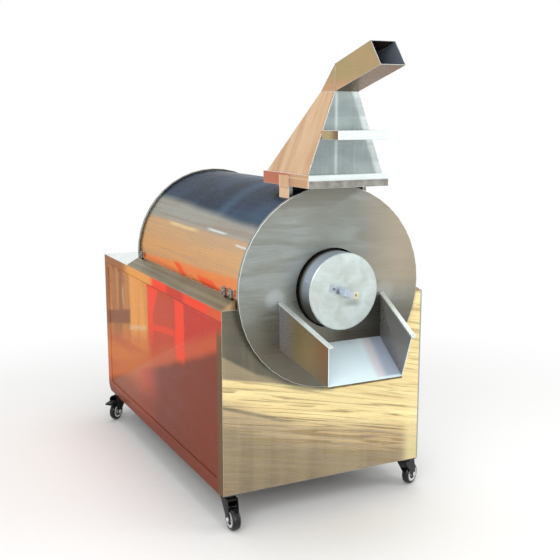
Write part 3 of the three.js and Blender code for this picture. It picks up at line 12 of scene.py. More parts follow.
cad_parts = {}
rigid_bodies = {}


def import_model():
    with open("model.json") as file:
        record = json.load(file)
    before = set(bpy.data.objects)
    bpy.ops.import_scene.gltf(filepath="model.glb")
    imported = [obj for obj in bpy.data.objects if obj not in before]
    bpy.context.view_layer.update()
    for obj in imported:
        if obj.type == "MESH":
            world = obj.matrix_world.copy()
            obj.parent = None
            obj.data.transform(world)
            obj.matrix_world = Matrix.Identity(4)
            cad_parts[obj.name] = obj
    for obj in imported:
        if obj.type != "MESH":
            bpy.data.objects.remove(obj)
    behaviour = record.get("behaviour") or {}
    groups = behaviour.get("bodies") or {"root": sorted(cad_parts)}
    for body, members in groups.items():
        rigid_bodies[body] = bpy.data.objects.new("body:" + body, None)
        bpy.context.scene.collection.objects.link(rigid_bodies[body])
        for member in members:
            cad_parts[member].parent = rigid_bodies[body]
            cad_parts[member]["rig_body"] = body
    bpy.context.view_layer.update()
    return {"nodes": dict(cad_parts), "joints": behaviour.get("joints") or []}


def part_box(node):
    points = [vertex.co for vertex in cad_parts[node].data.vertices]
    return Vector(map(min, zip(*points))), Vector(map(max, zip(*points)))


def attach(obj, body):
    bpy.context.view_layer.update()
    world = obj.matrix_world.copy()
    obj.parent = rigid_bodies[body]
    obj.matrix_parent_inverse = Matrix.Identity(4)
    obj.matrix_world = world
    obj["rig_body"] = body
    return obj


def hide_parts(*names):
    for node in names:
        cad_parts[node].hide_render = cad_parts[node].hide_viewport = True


bl_info = {
    "name": "Nut Roasting Machine",
    "version": (1, 0, 0),
    "blender": (4, 5, 0),
    "location": "View3D > Sidebar > Roaster",
    "description": "Finishes a nut roasting machine's steel and fittings, and sets it in a studio",
    "category": "Object",
}

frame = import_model()

SIDES = ("left", "right")
CASTERS = ("front_left", "front_right", "rear_left", "rear_right")

# Places on the machine, from the frame
AXIS_HEIGHT = sum(corner.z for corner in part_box("roasting_drum")) / 2
CASING_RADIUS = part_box("lower_casing")[1].x
DISC_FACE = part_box("front_end_disc")[0].y

# The line under the left side panel's top strip, and the panel's front fold
PANEL_FOLD = 0.728
PANEL_FRONT = -0.462

# The axis and the sign of each way that a face can look
WAYS = {"left": (0, -1), "right": (0, 1), "front": (1, -1), "down": (2, -1), "up": (2, 1)}

# How a frame node's mesh is read: which corners are one, flat or sharp, and which lie on a face
JOIN_DISTANCE = 0.00001
FLAT_ANGLE = math.radians(0.4)
SHARP_ANGLE = math.radians(28)
ON_FACE = 0.001
FLUSH = 0.0001
SEAT_GAP = 0.0003

# How finely round forms are drawn
ROUND_STEPS = 96
WASHER_STEPS = 24
BEAD_SIDES = 8
SHOULDER_STEPS = 6
WEB_STEPS = 6

# Shares of the pieces that carry them
SCREW_SHARES = (0.12, 0.5, 0.88)
SCREW_INSET_SHARE = 1 / 14
HEAD_SHARES = ((1, 0), (1, 0.8), (0.86, 1))
NUT_SHARE = 0.72
VALLEY_SHARE = 0.78
BOSS_SHARE = 0.42
BORE_SHARE = 0.19
WEB_FOOT_SHARES = (-0.64, -0.77)
WEB_SHARE = 0.5
TICK_SHARES = (1.2, 1.5)
TICK_ANGLES = (-45, 0, 45)

# The duct's bend is nearer than this to its foot's back edge, and this far or more under its top
BEND_REACH = 0.12
MOUTH_RISE = 0.03

# The temperature on the display, its figures' proportions and how far they stand out
FIGURES = "180"
FIGURE_WIDTH_SHARE = 0.5
FIGURE_PITCH_SHARE = 1.6
FIGURE_LIFTS = (0.0002, 0.0008)
WINDOW_LIFTS = (-0.001, 0.0004)
STROKES = {
    "1": ("upper_right", "lower_right"),
    "8": ("top", "middle", "bottom", "upper_left", "lower_left", "upper_right", "lower_right"),
    "0": ("top", "bottom", "upper_left", "lower_left", "upper_right", "lower_right"),
}

# Each lamp's place and width, what the lamps point at, and where the floor fades to white
LAMPS = {
    "key": ((-3.2, -3.4, 3.4), 2.6),
    "front": ((-0.4, -5.2, 1.9), 2.8),
    "fill": ((3.4, -2.6, 2.2), 2.2),
    "top": ((0.2, 0.4, 4.2), 3.0),
}
LAMP_AIM = Vector((0, 0, 0.8))
FLOOR_HALF = 14
FLOOR_CELLS = 8
FLOOR_FADE = (1.1, 2.6)


def screen(red, green, blue):
    """A colour given as on a screen, from 0 to 255, in Blender's linear values."""
    shares = [value / 255 for value in (red, green, blue)]
    return [s / 12.92 if s <= 0.04045 else ((s + 0.055) / 1.055) ** 2.4 for s in shares]


def tone(name, description, red, green, blue):
    """A colour that a user can change."""
    return FloatVectorProperty(
        name=name,
        description=description,
        subtype="COLOR",
        size=3,
        min=0,
        max=1,
        default=screen(red, green, blue),
    )


def length(name, description, default):
    """A length in metres that a user can change."""
    return FloatProperty(name=name, description=description, default=default, min=0, unit="LENGTH")


def angle(name, description, degrees):
    """An angle that a user can change."""
    default = math.radians(degrees)
    return FloatProperty(name=name, description=description, default=default, subtype="ANGLE")


def strength(name, description, default):
    """A lamp's power or a light's strength that a user can change."""
    return FloatProperty(name=name, description=description, default=default, min=0)


class RoasterSizes(PropertyGroup):
    """Sizes of the small forms that the frame leaves to the finish."""

    panel_edge: length("Panel edge", "Rounding of the cabinet's folded edges", 0.0012)
    sheet_edge: length("Sheet edge", "Rounding of a thin sheet's cut edges", 0.0007)
    disc_edge: length("Disc edge", "Rounding of the end discs", 0.001)
    lid_edge: length("Lid edge", "Rounding of the lid's face into its skirt", 0.0014)
    bar_edge: length("Bar edge", "Rounding of angle iron and flat bars", 0.0011)
    cast_edge: length("Cast edge", "Rounding of castings and of the gearbox", 0.0022)
    moulded_edge: length("Moulded edge", "Rounding of knobs, buttons and forks", 0.0012)
    panel_dent: length("Panel dent", "Height of the soft waves in the cabinet's sheet", 0.0011)
    casing_dent: length("Casing dent", "Height of the soft waves in the casing's sheet", 0.0006)
    weld_width: length("Weld width", "Width of a weld bead", 0.003)
    weld_pitch: length("Weld pitch", "Distance between two ripples of a bead", 0.0028)
    screw_radius: length("Screw radius", "Radius of the small screws' heads", 0.0036)
    screw_height: length("Screw height", "Height of the small screws' heads", 0.0024)
    tyre_shoulder: length("Tyre shoulder", "Rounding of a caster tyre's shoulders", 0.007)
    hem_height: length("Hem height", "Height of the hem, and inset of the leg plates", 0.007)
    fold_wall: length("Fold wall", "Thickness of the hem, leg plates and ledge caps", 0.0014)
    hub_ring: length("Hub ring", "Width of the light ring round a hub", 0.0098)
    hub_recess: length("Hub recess", "Depth of the dark recess in a hub", 0.006)
    web_wall: length("Web wall", "Thickness of the web between a caster fork's legs", 0.0025)
    nut_radius: length("Nut radius", "Radius of the washers on the caster axles", 0.0085)
    washer_wall: length("Washer wall", "Thickness of those washers at their rim", 0.001)
    figure_stroke: length("Figure stroke", "Width of the display's strokes", 0.0035)


class RoasterColours(PropertyGroup):
    """Colours of the steel, as its surroundings tint it in painted reflections, painted highlights
    and painted shade, and of the other materials.
    """

    # Left side panel: painted reflections of warm surroundings, with panel_shade as painted shade
    panel_shade: tone("Panel shade", "Low at the front of the left side panel", 132, 62, 38)
    panel_copper: tone("Panel copper", "Low at the rear of the left side panel", 204, 112, 60)
    panel_crimson: tone("Panel crimson", "High at the front of the left side panel", 200, 62, 38)
    panel_scarlet: tone("Panel scarlet", "Brightest bands of the left side panel", 250, 78, 36)
    panel_amber: tone("Panel amber", "High at the rear of the left side panel", 236, 166, 88)
    panel_umber: tone("Panel umber", "Dark streaks in the amber", 150, 98, 56)
    # Front panel: gold and sand are a painted reflection; front_slate is painted shadow under the
    # disc and painted shade elsewhere
    front_gold: tone("Front gold", "Bright band across the front panel", 255, 238, 176)
    front_sand: tone("Front sand", "Streaks in the bright band", 222, 188, 134)
    front_olive: tone("Front olive", "Low on the front panel", 130, 116, 96)
    front_taupe: tone("Front taupe", "Streaks low on the front panel", 166, 150, 125)
    front_brown: tone("Front brown", "Wavy dark lines on the front panel", 142, 122, 88)
    front_slate: tone("Front slate", "High on the front panel, under the disc", 84, 84, 78)
    # The left ledge's olive is a painted reflection
    ledge_olive: tone("Ledge olive", "Ledges along the casing", 134, 119, 84)
    ledge_dark: tone("Ledge dark", "Streaks on the ledges", 102, 92, 66)
    # Drum cover: painted reflections, warm low down, slate and mist on top
    cover_orange: tone("Cover orange", "Lowest stretch of the drum cover", 244, 140, 100)
    cover_tan: tone("Cover tan", "Side of the drum cover", 218, 180, 140)
    cover_taupe: tone("Cover taupe", "Shoulder of the drum cover", 170, 161, 150)
    cover_slate: tone("Cover slate", "Top of the drum cover", 72, 84, 102)
    cover_mist: tone("Cover mist", "Streaks over the top of the cover", 100, 122, 138)
    # End discs: the light and warm tones are painted reflections, and disc_dark is painted shade
    disc_grey: tone("Disc grey", "End discs", 134, 138, 130)
    disc_light: tone("Disc light", "Light streaks on the end discs", 172, 180, 180)
    disc_warm: tone("Disc warm", "Right side of the front disc", 176, 164, 142)
    disc_dark: tone("Disc dark", "Low on the front disc", 102, 96, 82)
    # Lid: lid_blue is a painted reflection on the skirt, and handle_sand a painted lit face
    lid_pale: tone("Lid pale", "Lid's face", 204, 216, 214)
    lid_grey: tone("Lid grey", "Mottling on the lid's face", 182, 191, 186)
    lid_blue: tone("Lid blue", "Upper part of the lid's skirt", 178, 190, 208)
    handle_sand: tone("Handle sand", "Right arm of the lid's handle", 238, 224, 172)
    # Chute: the floor tones and bronze are painted reflections, and chute_shade is painted shade
    chute_ice: tone("Chute ice", "Chute's floor", 226, 247, 255)
    chute_lilac: tone("Chute lilac", "Right part of the chute's floor", 170, 182, 200)
    chute_rose: tone("Chute rose", "Between the two parts of the floor", 214, 208, 212)
    chute_bronze: tone("Chute bronze", "Outside of the chute's left cheek", 124, 92, 60)
    chute_shade: tone("Chute shade", "Insides of the chute's cheeks", 140, 137, 136)
    # Hood, collar and duct: painted reflections and painted light, with duct_night as painted shade
    # in the mouth
    hood_cool: tone("Hood cool", "Front of the hood", 146, 160, 160)
    hood_pale: tone("Hood pale", "Light streaks on the hood's front", 186, 200, 198)
    hood_peach: tone("Hood peach", "Left face of the hood", 226, 190, 152)
    hood_clay: tone("Hood clay", "Streaks on the hood's left face", 204, 160, 120)
    collar_brick: tone("Collar brick", "Left face of the hood's collar", 190, 110, 80)
    duct_khaki: tone("Duct khaki", "Left face of the duct", 174, 155, 110)
    duct_night: tone("Duct night", "Inside of the duct's mouth", 44, 50, 68)
    bare_steel: tone("Bare steel", "Steel that nothing tints", 176, 176, 170)
    bare_dark: tone("Bare dark", "Darker streaks of bare steel", 132, 130, 122)
    # bright_steel is bright steel that also carries painted highlights on edges and glints
    bright_steel: tone("Bright steel", "Ground edges, stays and the strap", 228, 238, 236)
    mill_steel: tone("Mill steel", "Rolled steel of the frame", 92, 94, 97)
    mill_scale: tone("Mill scale", "Scale and oil on the rolled steel", 52, 50, 50)
    rust: tone("Rust", "Rust in the scale", 104, 62, 38)
    gearbox_paint: tone("Gearbox paint", "Paint of the gearmotor and bearing", 44, 66, 80)
    gearbox_chip: tone("Gearbox chip", "Where the paint has rubbed thin", 98, 108, 112)
    black_plastic: tone("Black plastic", "Caster forks, pedals and knob", 13, 12, 12)
    black_dust: tone("Black dust", "Dust on the black parts", 46, 43, 41)
    tyre_black: tone("Tyre black", "Caster tyres", 18, 19, 22)
    hub_grey: tone("Hub grey", "Ring and centre of a caster hub", 206, 208, 206)
    wool: tone("Wool", "Insulation", 214, 206, 180)
    start_green: tone("Start green", "Start button", 30, 132, 70)
    stop_red: tone("Stop red", "Stop button", 184, 36, 30)
    display_light: tone("Display light", "Figures of the temperature display", 255, 60, 40)


class RoasterStudio(PropertyGroup):
    """Camera, lamps and floor."""

    camera_place: FloatVectorProperty(
        name="Camera place",
        description="Where the camera stands",
        subtype="TRANSLATION",
        size=3,
        default=(-1.4926, -3.1144, 1.3926),
    )
    camera_turn: angle("Camera turn", "Turn of the camera to the right of straight ahead", 26.607)
    camera_drop: angle("Camera drop", "Tilt of the camera below level", 10.459)
    camera_lens: FloatProperty(
        name="Camera lens",
        description="Focal length of the camera, in millimetres",
        default=57.13,
        min=1,
    )
    key_power: strength("Key power", "Power of the large lamp at the left", 84)
    front_power: strength("Front power", "Power of the lamp behind the camera", 55)
    fill_power: strength("Fill power", "Power of the lamp at the right", 38)
    top_power: strength("Top power", "Power of the lamp overhead", 60)
    sky_strength: strength("Sky strength", "Light of the pale surroundings", 0.62)
    floor_tone: tone("Floor tone", "Colour of the floor", 244, 244, 243)


def sizes():
    return bpy.context.scene.roaster_sizes


def colours():
    return bpy.context.scene.roaster_colours


# Finishes. Places in them are metres in the frame, and other numbers are shares or waves a metre.


class Result:
    """What a material's node gives back, which takes part in sums as a number does."""

    def __init__(self, recipe, socket):
        self.recipe = recipe
        self.socket = socket

    def __add__(self, other):
        return self.recipe.math("ADD", self, other)

    def __sub__(self, other):
        return self.recipe.math("SUBTRACT", self, other)

    def __mul__(self, other):
        return self.recipe.math("MULTIPLY", self, other)

    def __pow__(self, other):
        return self.recipe.math("POWER", self, other)

    def __abs__(self):
        return self.recipe.math("ABSOLUTE", self)

    def larger(self, other):
        return self.recipe.math("MAXIMUM", self, other)

    def smaller(self, other):
        return self.recipe.math("MINIMUM", self, other)

    def reach(self, other):
        """The distance that two distances at right angles make."""
        return self.recipe.math("SQRT", self * self + other * other)

    def fade(self, low, high, start=0, end=1):
        """Goes smoothly from start to end as the value goes from low to high."""
        given = (self, low, high, start, end)
        return self.recipe.add("ShaderNodeMapRange", *given, interpolation_type="SMOOTHSTEP")

    def between(self, start, end):
        """Spreads a share over another range."""
        return self.fade(0, 1, start, end)

    def band(self, low, high, soft):
        """1 between two places, with soft ends."""
        return self.fade(low - soft, low + soft) * self.fade(high - soft, high + soft, 1, 0)

    def wander(self, amount, scale, shift=(0, 0, 0)):
        """The value, wandering by up to half an amount each way."""
        return self + (self.recipe.noise(scale, 2, 0, shift) - 0.5) * amount

    def mix(self, other, share):
        return self.recipe.mix(self, other, share)


class Recipe:
    """A material in the making. A colour in it is a result, a tuple or one colour's name."""

    def __init__(self, name):
        self.material = bpy.data.materials.new(name)
        self.material.use_nodes = True
        self.tree = self.material.node_tree
        self.shader = self.tree.nodes["Principled BSDF"]
        places = self.tree.nodes.new("ShaderNodeTexCoord").outputs
        self.place = Result(self, places["Object"])
        self.x, self.y, self.z = self.parts(self.place)
        self.facing = self.parts(Result(self, places["Normal"]))
        self.normal = None

    def feed(self, socket, value):
        """Links a result to a socket, or writes a plain value in it."""
        if isinstance(value, str):
            value = getattr(colours(), value)
        if isinstance(value, Result):
            self.tree.links.new(value.socket, socket)
        else:
            socket.default_value = (*value, 1) if socket.type == "RGBA" else value

    def add(self, kind, *values, **settings):
        """Adds a node, feeds its inputs in their order and gives back its first result."""
        node = self.tree.nodes.new(kind)
        for key, value in settings.items():
            setattr(node, key, value)
        for socket, value in zip([s for s in node.inputs if s.enabled], values):
            self.feed(socket, value)
        return Result(self, next(s for s in node.outputs if s.enabled))

    def set(self, **values):
        """Sets sockets of the shader by name, with _ for a space."""
        for key, value in values.items():
            self.feed(self.shader.inputs[key.replace("_", " ")], value)

    def parts(self, vector):
        node = self.tree.nodes.new("ShaderNodeSeparateXYZ")
        self.feed(node.inputs[0], vector)
        return [Result(self, output) for output in node.outputs]

    def math(self, operation, *values):
        return self.add("ShaderNodeMath", *values, operation=operation)

    def mix(self, first, second_reflection, share):
        return self.add("ShaderNodeMix", share, first, second_reflection, data_type="RGBA")

    def toward(self, side, low=0.5, high=0.8):
        """1 on faces that look toward a side, and 0 on the others."""
        axis, way = WAYS[side]
        return self.facing[axis].fade(way * low, way * high)

    def from_axis(self):
        """Distance from the drum's axis."""
        return self.x.reach(self.z - AXIS_HEIGHT)

    def noise(self, scale, detail=3, distortion=0, shift=(0, 0, 0), turn=0):
        """Noise of so many waves a metre, alike or along each axis, turned about Y."""
        waves = [scale] * 3 if isinstance(scale, (int, float)) else scale
        given = (self.place, shift, (0, turn, 0), [1 / number for number in waves])
        turned = self.add("ShaderNodeMapping", *given, vector_type="TEXTURE")
        roughness, lacunarity = 0.5, 2
        return self.add("ShaderNodeTexNoise", turned, 1, detail, roughness, lacunarity, distortion)

    def streaks(self, scale, contrast=0.16, distortion=0.3, shift=(0, 0, 0), turn=0):
        """Noise spread over its whole range, for two tones that run into each other."""
        return self.noise(scale, 5, distortion, shift, turn).fade(0.5 - contrast, 0.5 + contrast)

    def bump(self, height, distance):
        """Raises the surface on top of what raised it before."""
        node = self.tree.nodes.new("ShaderNodeBump")
        node.inputs["Strength"].default_value = 1
        node.inputs["Distance"].default_value = distance
        self.feed(node.inputs["Height"], height)
        if self.normal:
            self.feed(node.inputs["Normal"], self.normal)
        self.normal = Result(self, node.outputs[0])
        self.set(Normal=self.normal)


FINISHES = {}


def finish(build):
    """Makes a finish the first time that it is asked for, and keeps it."""

    def ready(*given):
        name = "_".join([build.__name__, *given])
        if name not in FINISHES:
            recipe = Recipe(name)
            build(recipe, *given)
            FINISHES[name] = recipe.material
        return FINISHES[name]

    return ready


def rolled(steel, grain, polish, dent, depth=0.00005):
    """Rolling lines along an axis, an uneven polish and soft dents."""
    lines = steel.noise([2.5 if axis == grain else 210 for axis in "xyz"], 4)
    wear = lines * 0.55 + steel.noise(6) * 0.45
    steel.set(Metallic=1, Roughness=wear.fade(0.36, 0.64, polish - 0.05, polish + 0.09))
    steel.bump(steel.noise(3.2, 1.5), dent)
    steel.bump(lines, depth)
    return lines


def worn(steel, colour, lines, amount=0.12, **settings):
    """Sets a colour, darkened a little in the rolling lines and in wiped patches."""
    wiped = steel.noise(9, 4, 1.2, (3, 1, 5))
    wear = (lines + wiped).fade(0.8, 1.25, 0, amount)
    steel.set(Base_Color=colour.mix("bare_dark", wear), **settings)


def grained(coat, colour, rough, scale, depth, detail=2, **settings):
    """Sets a colour and a roughness, with a fine grain of so many waves a metre."""
    coat.set(Base_Color=colour, Roughness=rough, **settings)
    coat.bump(coat.noise(scale, detail), depth)


@finish
def side_steel(steel, side):
    """Side panels: a warm, glossy sheet at the left, painted with reflections, highlights and shade
    of its surroundings, and a plain one at the right.
    """
    lines = rolled(steel, "y", 0.3, sizes().panel_dent, 0.000008)
    streak = steel.streaks((2, 2.4, 15), 0.25, 0.8)
    if side == "right":
        worn(steel, steel.mix("bare_dark", "bare_steel", streak.between(0.7, 1)), lines)
        return
    height = steel.z.wander(0.024, (2, 3, 5))
    along = steel.y.wander(0.024, (3, 3, 9), (7, 2, 1))
    slope = height + along * 0.33
    rows = height + along * 0.2

    # The lower part: a painted reflection, crimson toward the rear, with painted shade toward the
    # front and at the foot
    low = steel.mix("panel_copper", "panel_amber", streak * 0.15)
    low = low.mix("panel_crimson", along.fade(0.46, 0.3) * 0.6)
    low = low.mix("panel_shade", along.fade(0.36, 0.1, 0, 0.96))
    low = low.mix("panel_shade", height.fade(0.34, 0.2, 0, 0.7))

    # The upper part: painted reflections over a sloping border, which is the painted horizon
    high = steel.mix("panel_crimson", "panel_copper", along.fade(-0.2, 0.06, 0, 0.35))
    warm = steel.mix("panel_copper", "panel_amber", streak * 0.35)
    high = high.mix(warm, along.fade(0.2, 0.3) * height.fade(0.62, 0.5))
    high = high.mix("panel_copper", slope.fade(0.56, 0.5) * 0.6)
    colour = low.mix(high, slope.fade(0.445, 0.485))

    # Amber painted reflections at the rear, with a darker row, and a pale shelf and a gleam as
    # painted highlights
    amber_streak = steel.streaks((3, 9, 1.6), 0.2, 1, (4, 4, 0))
    amber = steel.mix("panel_umber", "panel_amber", amber_streak.fade(0, 0.55, 0.75, 1))
    deep = steel.mix("panel_umber", "panel_amber", amber_streak * 0.6)
    deep = deep.mix("panel_umber", rows.band(0.617, 0.679, 0.008))
    amber = amber.mix(deep, along.fade(0.49, 0.53))
    colour = colour.mix(amber, along.fade(0.255, 0.285) * rows.fade(0.5, 0.62))
    gleam = steel.y.wander(0.05, (3, 3, 9)).band(0.6, 0.625, 0.012) * rows.band(0.7, 0.78, 0.02)
    shelf_highlight = rows.band(0.588, 0.606, 0.008) * along.band(0.29, 0.52, 0.02)
    colour = colour.mix("hood_peach", (shelf_highlight * 0.7).larger(gleam * 0.5))

    # Painted reflections of two bright uprights, the rail between them and scarlet patches at the
    # front
    patches = steel.streaks((3, 11, 9), 0.08, 1.2, (8, 1, 3))
    patches = patches * slope.fade(0.56, 0.64) * along.fade(-0.2, -0.32)
    arch = (along + (steel.z - 0.62).larger(0) * 0.7).fade(0.196, 0.212)
    reflected_post = arch * along.fade(0.276, 0.26) * height.fade(0.45, 0.6)
    second_reflection = along.band(-0.148, -0.052, 0.01) * height.fade(0.475, 0.53)
    level = height + along * 0.115
    reflected_rail = along.band(-0.05, 0.22, 0.01) * level.band(0.572, 0.6, 0.006) * 0.7
    bright = reflected_post.larger(second_reflection).larger(reflected_rail.larger(patches * 0.4))
    bright = bright * steel.z.fade(PANEL_FOLD, PANEL_FOLD - 0.006) * streak.between(0.85, 1)
    colour = colour.mix("panel_scarlet", bright)

    # The strip over the top fold in painted reflections, and the dark line of the fold in painted
    # shade
    strip = steel.mix("panel_scarlet", "panel_amber", along.fade(0.17, 0.24))
    strip = strip.mix("panel_umber", along.fade(0.5, 0.62, 0, 0.85))
    strip = strip.mix("panel_crimson", along.band(-0.15, 0.03, 0.03) * 0.85)
    strip = strip.mix("panel_copper", along.fade(-0.36, -0.42, 0, 0.6))
    over = steel.z.fade(PANEL_FOLD - 0.001, PANEL_FOLD + 0.003)
    colour = colour.mix(strip, over * 0.92)
    fold = steel.z.band(PANEL_FOLD + 0.0005, PANEL_FOLD + 0.0035, 0.001)
    colour = colour.mix("panel_shade", fold * steel.y.fade(0.83, 0.82) * 0.7)

    # The front fold in painted reflections, and painted shade along the foot
    edge = steel.y.fade(PANEL_FRONT, PANEL_FRONT - 0.002) * steel.z.fade(0.725, 0.66)
    stripe = steel.streaks((2, 190, 0.6), 0.2, 0, (0, 1, 0))
    colour = colour.mix(steel.mix("ledge_dark", "chute_bronze", stripe), edge * 0.9)
    foot = steel.z.fade(0.152, 0.148) * steel.y.fade(PANEL_FRONT, PANEL_FRONT + 0.002)
    colour = colour.mix("panel_shade", foot * 0.75)
    rough = streak.between(0.26, 0.34)
    gloss = {"Metallic": 0.3, "Specular_IOR_Level": 0.15, "Specular_Tint": colour}
    worn(steel, colour, lines, 0.02, Roughness=rough, **gloss)


@finish
def front_steel(steel):
    """Front panel: a wavy bright band of painted reflection over a dull lower part, and painted
    shadow under the disc.
    """
    lines = rolled(steel, "x", 0.24, sizes().panel_dent)
    turn = 0.22
    fine = steel.streaks((3.2, 1, 105), 0.12, 1.2, (0, 0, 0), turn)
    broad = steel.streaks((1.8, 1, 30), 0.16, 1.2, (5, 0, 2), turn)
    dark = steel.noise((2, 1, 62), 3, 1.8, (9, 0, 6), turn).fade(0.53, 0.6)
    ribs = steel.streaks((26, 1, 1.6), 0.3, 0.4)
    height = steel.z.wander(0.03, (2.5, 1, 12))
    steeper = steel.x.smaller(-0.08) * 0.4
    flatter = steel.x.larger(-0.08) * 0.15
    sloped = height + (steeper + flatter)

    # Dull at the foot, taupe to sand in the middle and a bright band above, all painted reflections
    low = steel.mix("front_olive", "front_taupe", steel.x.fade(-0.3, 0.4, 0, 0.5))
    low = low.mix("front_taupe", fine * 0.35)
    sandy = fine * steel.x.fade(-0.2, 0.3, 0.35, 0.85)
    middle = steel.mix("front_taupe", "front_sand", sandy)
    colour = low.mix(middle, sloped.fade(0.16, 0.24))
    bright = steel.mix("front_gold", "front_sand", broad * 0.55)
    colour = colour.mix(bright, sloped.fade(0.25, 0.32))

    # Dark waves and a golden right end in the painted reflection, and a dull wedge at the left
    waves = dark * sloped.fade(0.05, 0.2, 0.2, 0.8) * sloped.fade(0.3, 0.42, 1, 0.55)
    colour = colour.mix("front_brown", waves)
    end = steel.x.fade(0.32, 0.365) * steel.z.fade(0.46, 0.3)
    colour = colour.mix("front_gold", end * 0.55)
    rake = steel.z + steel.x * 0.343
    wedge = rake.band(0.293, 0.306, 0.004) * steel.x.fade(-0.1, -0.22)
    colour = colour.mix("front_slate", wedge * 0.6)

    # The disc's painted shadow at the left, painted shade as a dusk over it, and a dark ring of
    # painted shadow round the disc
    haze = steel.z + steel.x * 0.21
    beside = steel.x.fade(0.05, -0.05)
    dull = steel.mix("front_taupe", "front_slate", 0.45)
    colour = colour.mix(dull, haze.fade(0.446, 0.456) * beside * 0.92)
    steep = steel.z + (steel.x * 0.6 - 0.37)
    gentle = steel.z + (steel.x * 0.34 - 0.44)
    dusk = steep.smaller(gentle)
    shade = steel.mix("front_slate", "front_olive", broad * 0.12)
    colour = colour.mix(shade, dusk.fade(-0.004, 0.01) * beside)
    near = steel.from_axis().wander(0.02, (4, 1, 4))
    colour = colour.mix("front_slate", near.fade(0.385, 0.358) * 0.75)
    colour = colour.mix("front_gold", ribs * 0.1)
    worn(steel, colour, lines, 0.04, Metallic=0.4, Specular_IOR_Level=0.2)
    steel.bump(ribs, 0.0002)


@finish
def ledge_steel(steel, side):
    """Ledges beside the casing, streaked along their length, the left one with olive painted
    reflections.
    """
    lines = rolled(steel, "y", 0.3, sizes().casing_dent)
    streak = steel.streaks((60, 1.2, 60), 0.2, 0.3)
    tones = ("ledge_dark", "ledge_olive") if side == "left" else ("bare_dark", "bare_steel")
    colour = steel.mix(tones[0], tones[1], streak)
    worn(steel, colour, lines)


@finish
def cover_steel(steel):
    """Drum cover: bands of painted reflection that follow its curve, warm at the left and slate on
    top.
    """
    lines = rolled(steel, "y", 0.24, sizes().casing_dent, 0.00002)
    streak = steel.streaks((14, 1.3, 14), 0.18, 0.6)
    fine = steel.streaks((60, 1.6, 60), 0.16, 0.5, (1, 2, 3))
    height = steel.z.wander(0.016, (2, 3, 5))
    rising = height - steel.y * 0.033
    falling = height + steel.y * 0.04

    # The left side's painted reflections: tan, then taupe above and orange low down
    tan = steel.mix("cover_tan", "panel_amber", height.fade(0.97, 0.87, 0, 0.3))
    tan = tan.mix("cover_taupe", fine * 0.3)
    taupe = steel.mix("cover_taupe", "hood_pale", fine * 0.35)
    left = tan.mix(taupe, height.fade(0.968, 0.995))
    low = steel.mix("cover_orange", "panel_amber", streak * 0.6)
    left = left.mix(low, falling.fade(0.856, 0.836, 0, 0.85))

    # Scarlet marks and a golden band of painted reflection, and two painted glints on it
    tipped = steel.y - (steel.z - 0.82) * 2.2
    first = tipped.band(-0.01, 0.06, 0.012) * steel.z.fade(0.845, 0.838)
    second_reflection = tipped.band(-0.31, -0.15, 0.02) * steel.z.fade(0.832, 0.822)
    left = left.mix("panel_scarlet", first.larger(second_reflection) * 0.6)
    glint = height.band(0.99, 0.996, 0.003) * steel.y.band(-0.3, -0.14, 0.03)
    lower = height.band(0.963, 0.968, 0.003) * steel.y.fade(-0.4, -0.43)
    warm = height.band(0.97, 0.98, 0.005) * steel.y.band(-0.04, 0.24, 0.05)
    left = left.mix("front_gold", warm * 0.5)
    left = left.mix("bright_steel", glint.larger(lower) * 0.85)

    # Bare at the right, a painted reflection of slate with sheen on top, and bare where the joint
    # stands out
    right = steel.mix("bare_dark", "bare_steel", streak)
    colour = left.mix(right, steel.x.fade(-0.02, 0.02))
    sheen = steel.streaks((4, 3, 4), 0.2, 1, (1, 5, 2))
    arch = steel.y.wander(0.08, (3, 2, 6)).band(-0.2, -0.12, 0.045)
    sheen = (sheen * 0.5).larger(arch * 0.75)
    top = steel.mix("cover_slate", "cover_mist", sheen)
    top = top.mix("cover_mist", steel.y.fade(0.1, -0.45, 0, 0.2))
    colour = colour.mix(top, rising.fade(1.03, 1.062))
    lug = steel.from_axis().fade(CASING_RADIUS + 0.0012, CASING_RADIUS + 0.002)
    colour = colour.mix("bare_dark", lug)
    worn(steel, colour, lines, 0.06, Metallic=0.7, Specular_Tint=colour)


@finish
def disc_steel(steel):
    """End discs: grey sheet with painted light streaks and glints, a painted warm reflection at the
    right, and painted shade low down and under the hood.
    """
    lines = rolled(steel, "x", 0.32, sizes().casing_dent)
    # Painted light streaks, finer ones at the left, painted glints where the stays meet the disc
    # and a painted beam of light
    streak = steel.streaks((2.4, 3, 15), 0.18, 1.4)
    clouds = steel.streaks((5, 5, 7), 0.24, 0.8, (2, 8, 1))
    fine_light_streaks = steel.streaks((5, 1, 60), 0.06, 2.5, (1, 1, 4))
    left = steel.x.fade(0.05, -0.2)
    light = streak * clouds * 0.55 + fine_light_streaks * left * 0.12
    from_root = abs(steel.x) - 0.215
    from_root = from_root * from_root + (steel.z - 0.79) ** 2
    glint = from_root.fade(0.0022, 0)
    beam = steel.x.band(-0.196, -0.172, 0.01) * steel.z.band(0.62, 0.75, 0.03)
    light = light + (glint * 0.8 + beam * 0.3)
    colour = steel.mix("disc_grey", "disc_light", light)
    # A painted warm reflection at the right
    right = steel.x.fade(0.06, 0.28) * steel.z.fade(0.7, 0.86)
    colour = colour.mix("disc_warm", right * 0.85)
    # Painted shade: the hood's shadow as olive on the brim and darker over the top, then shade low
    # down
    brim = steel.from_axis().fade(0.27, 0.34) * steel.z.fade(0.95, 1.1)
    colour = colour.mix("front_olive", brim * 0.15)
    above = steel.z - steel.x.larger(0) * 0.45
    hood_shadow = above.fade(1.085, 1.105) * steel.x.fade(0.13, 0.1)
    colour = colour.mix("disc_dark", hood_shadow * 0.4)
    low = steel.z.wander(0.1, 3).fade(0.84, 0.6)
    colour = colour.mix("disc_dark", low * 0.9)
    worn(steel, colour, lines, 0.14)


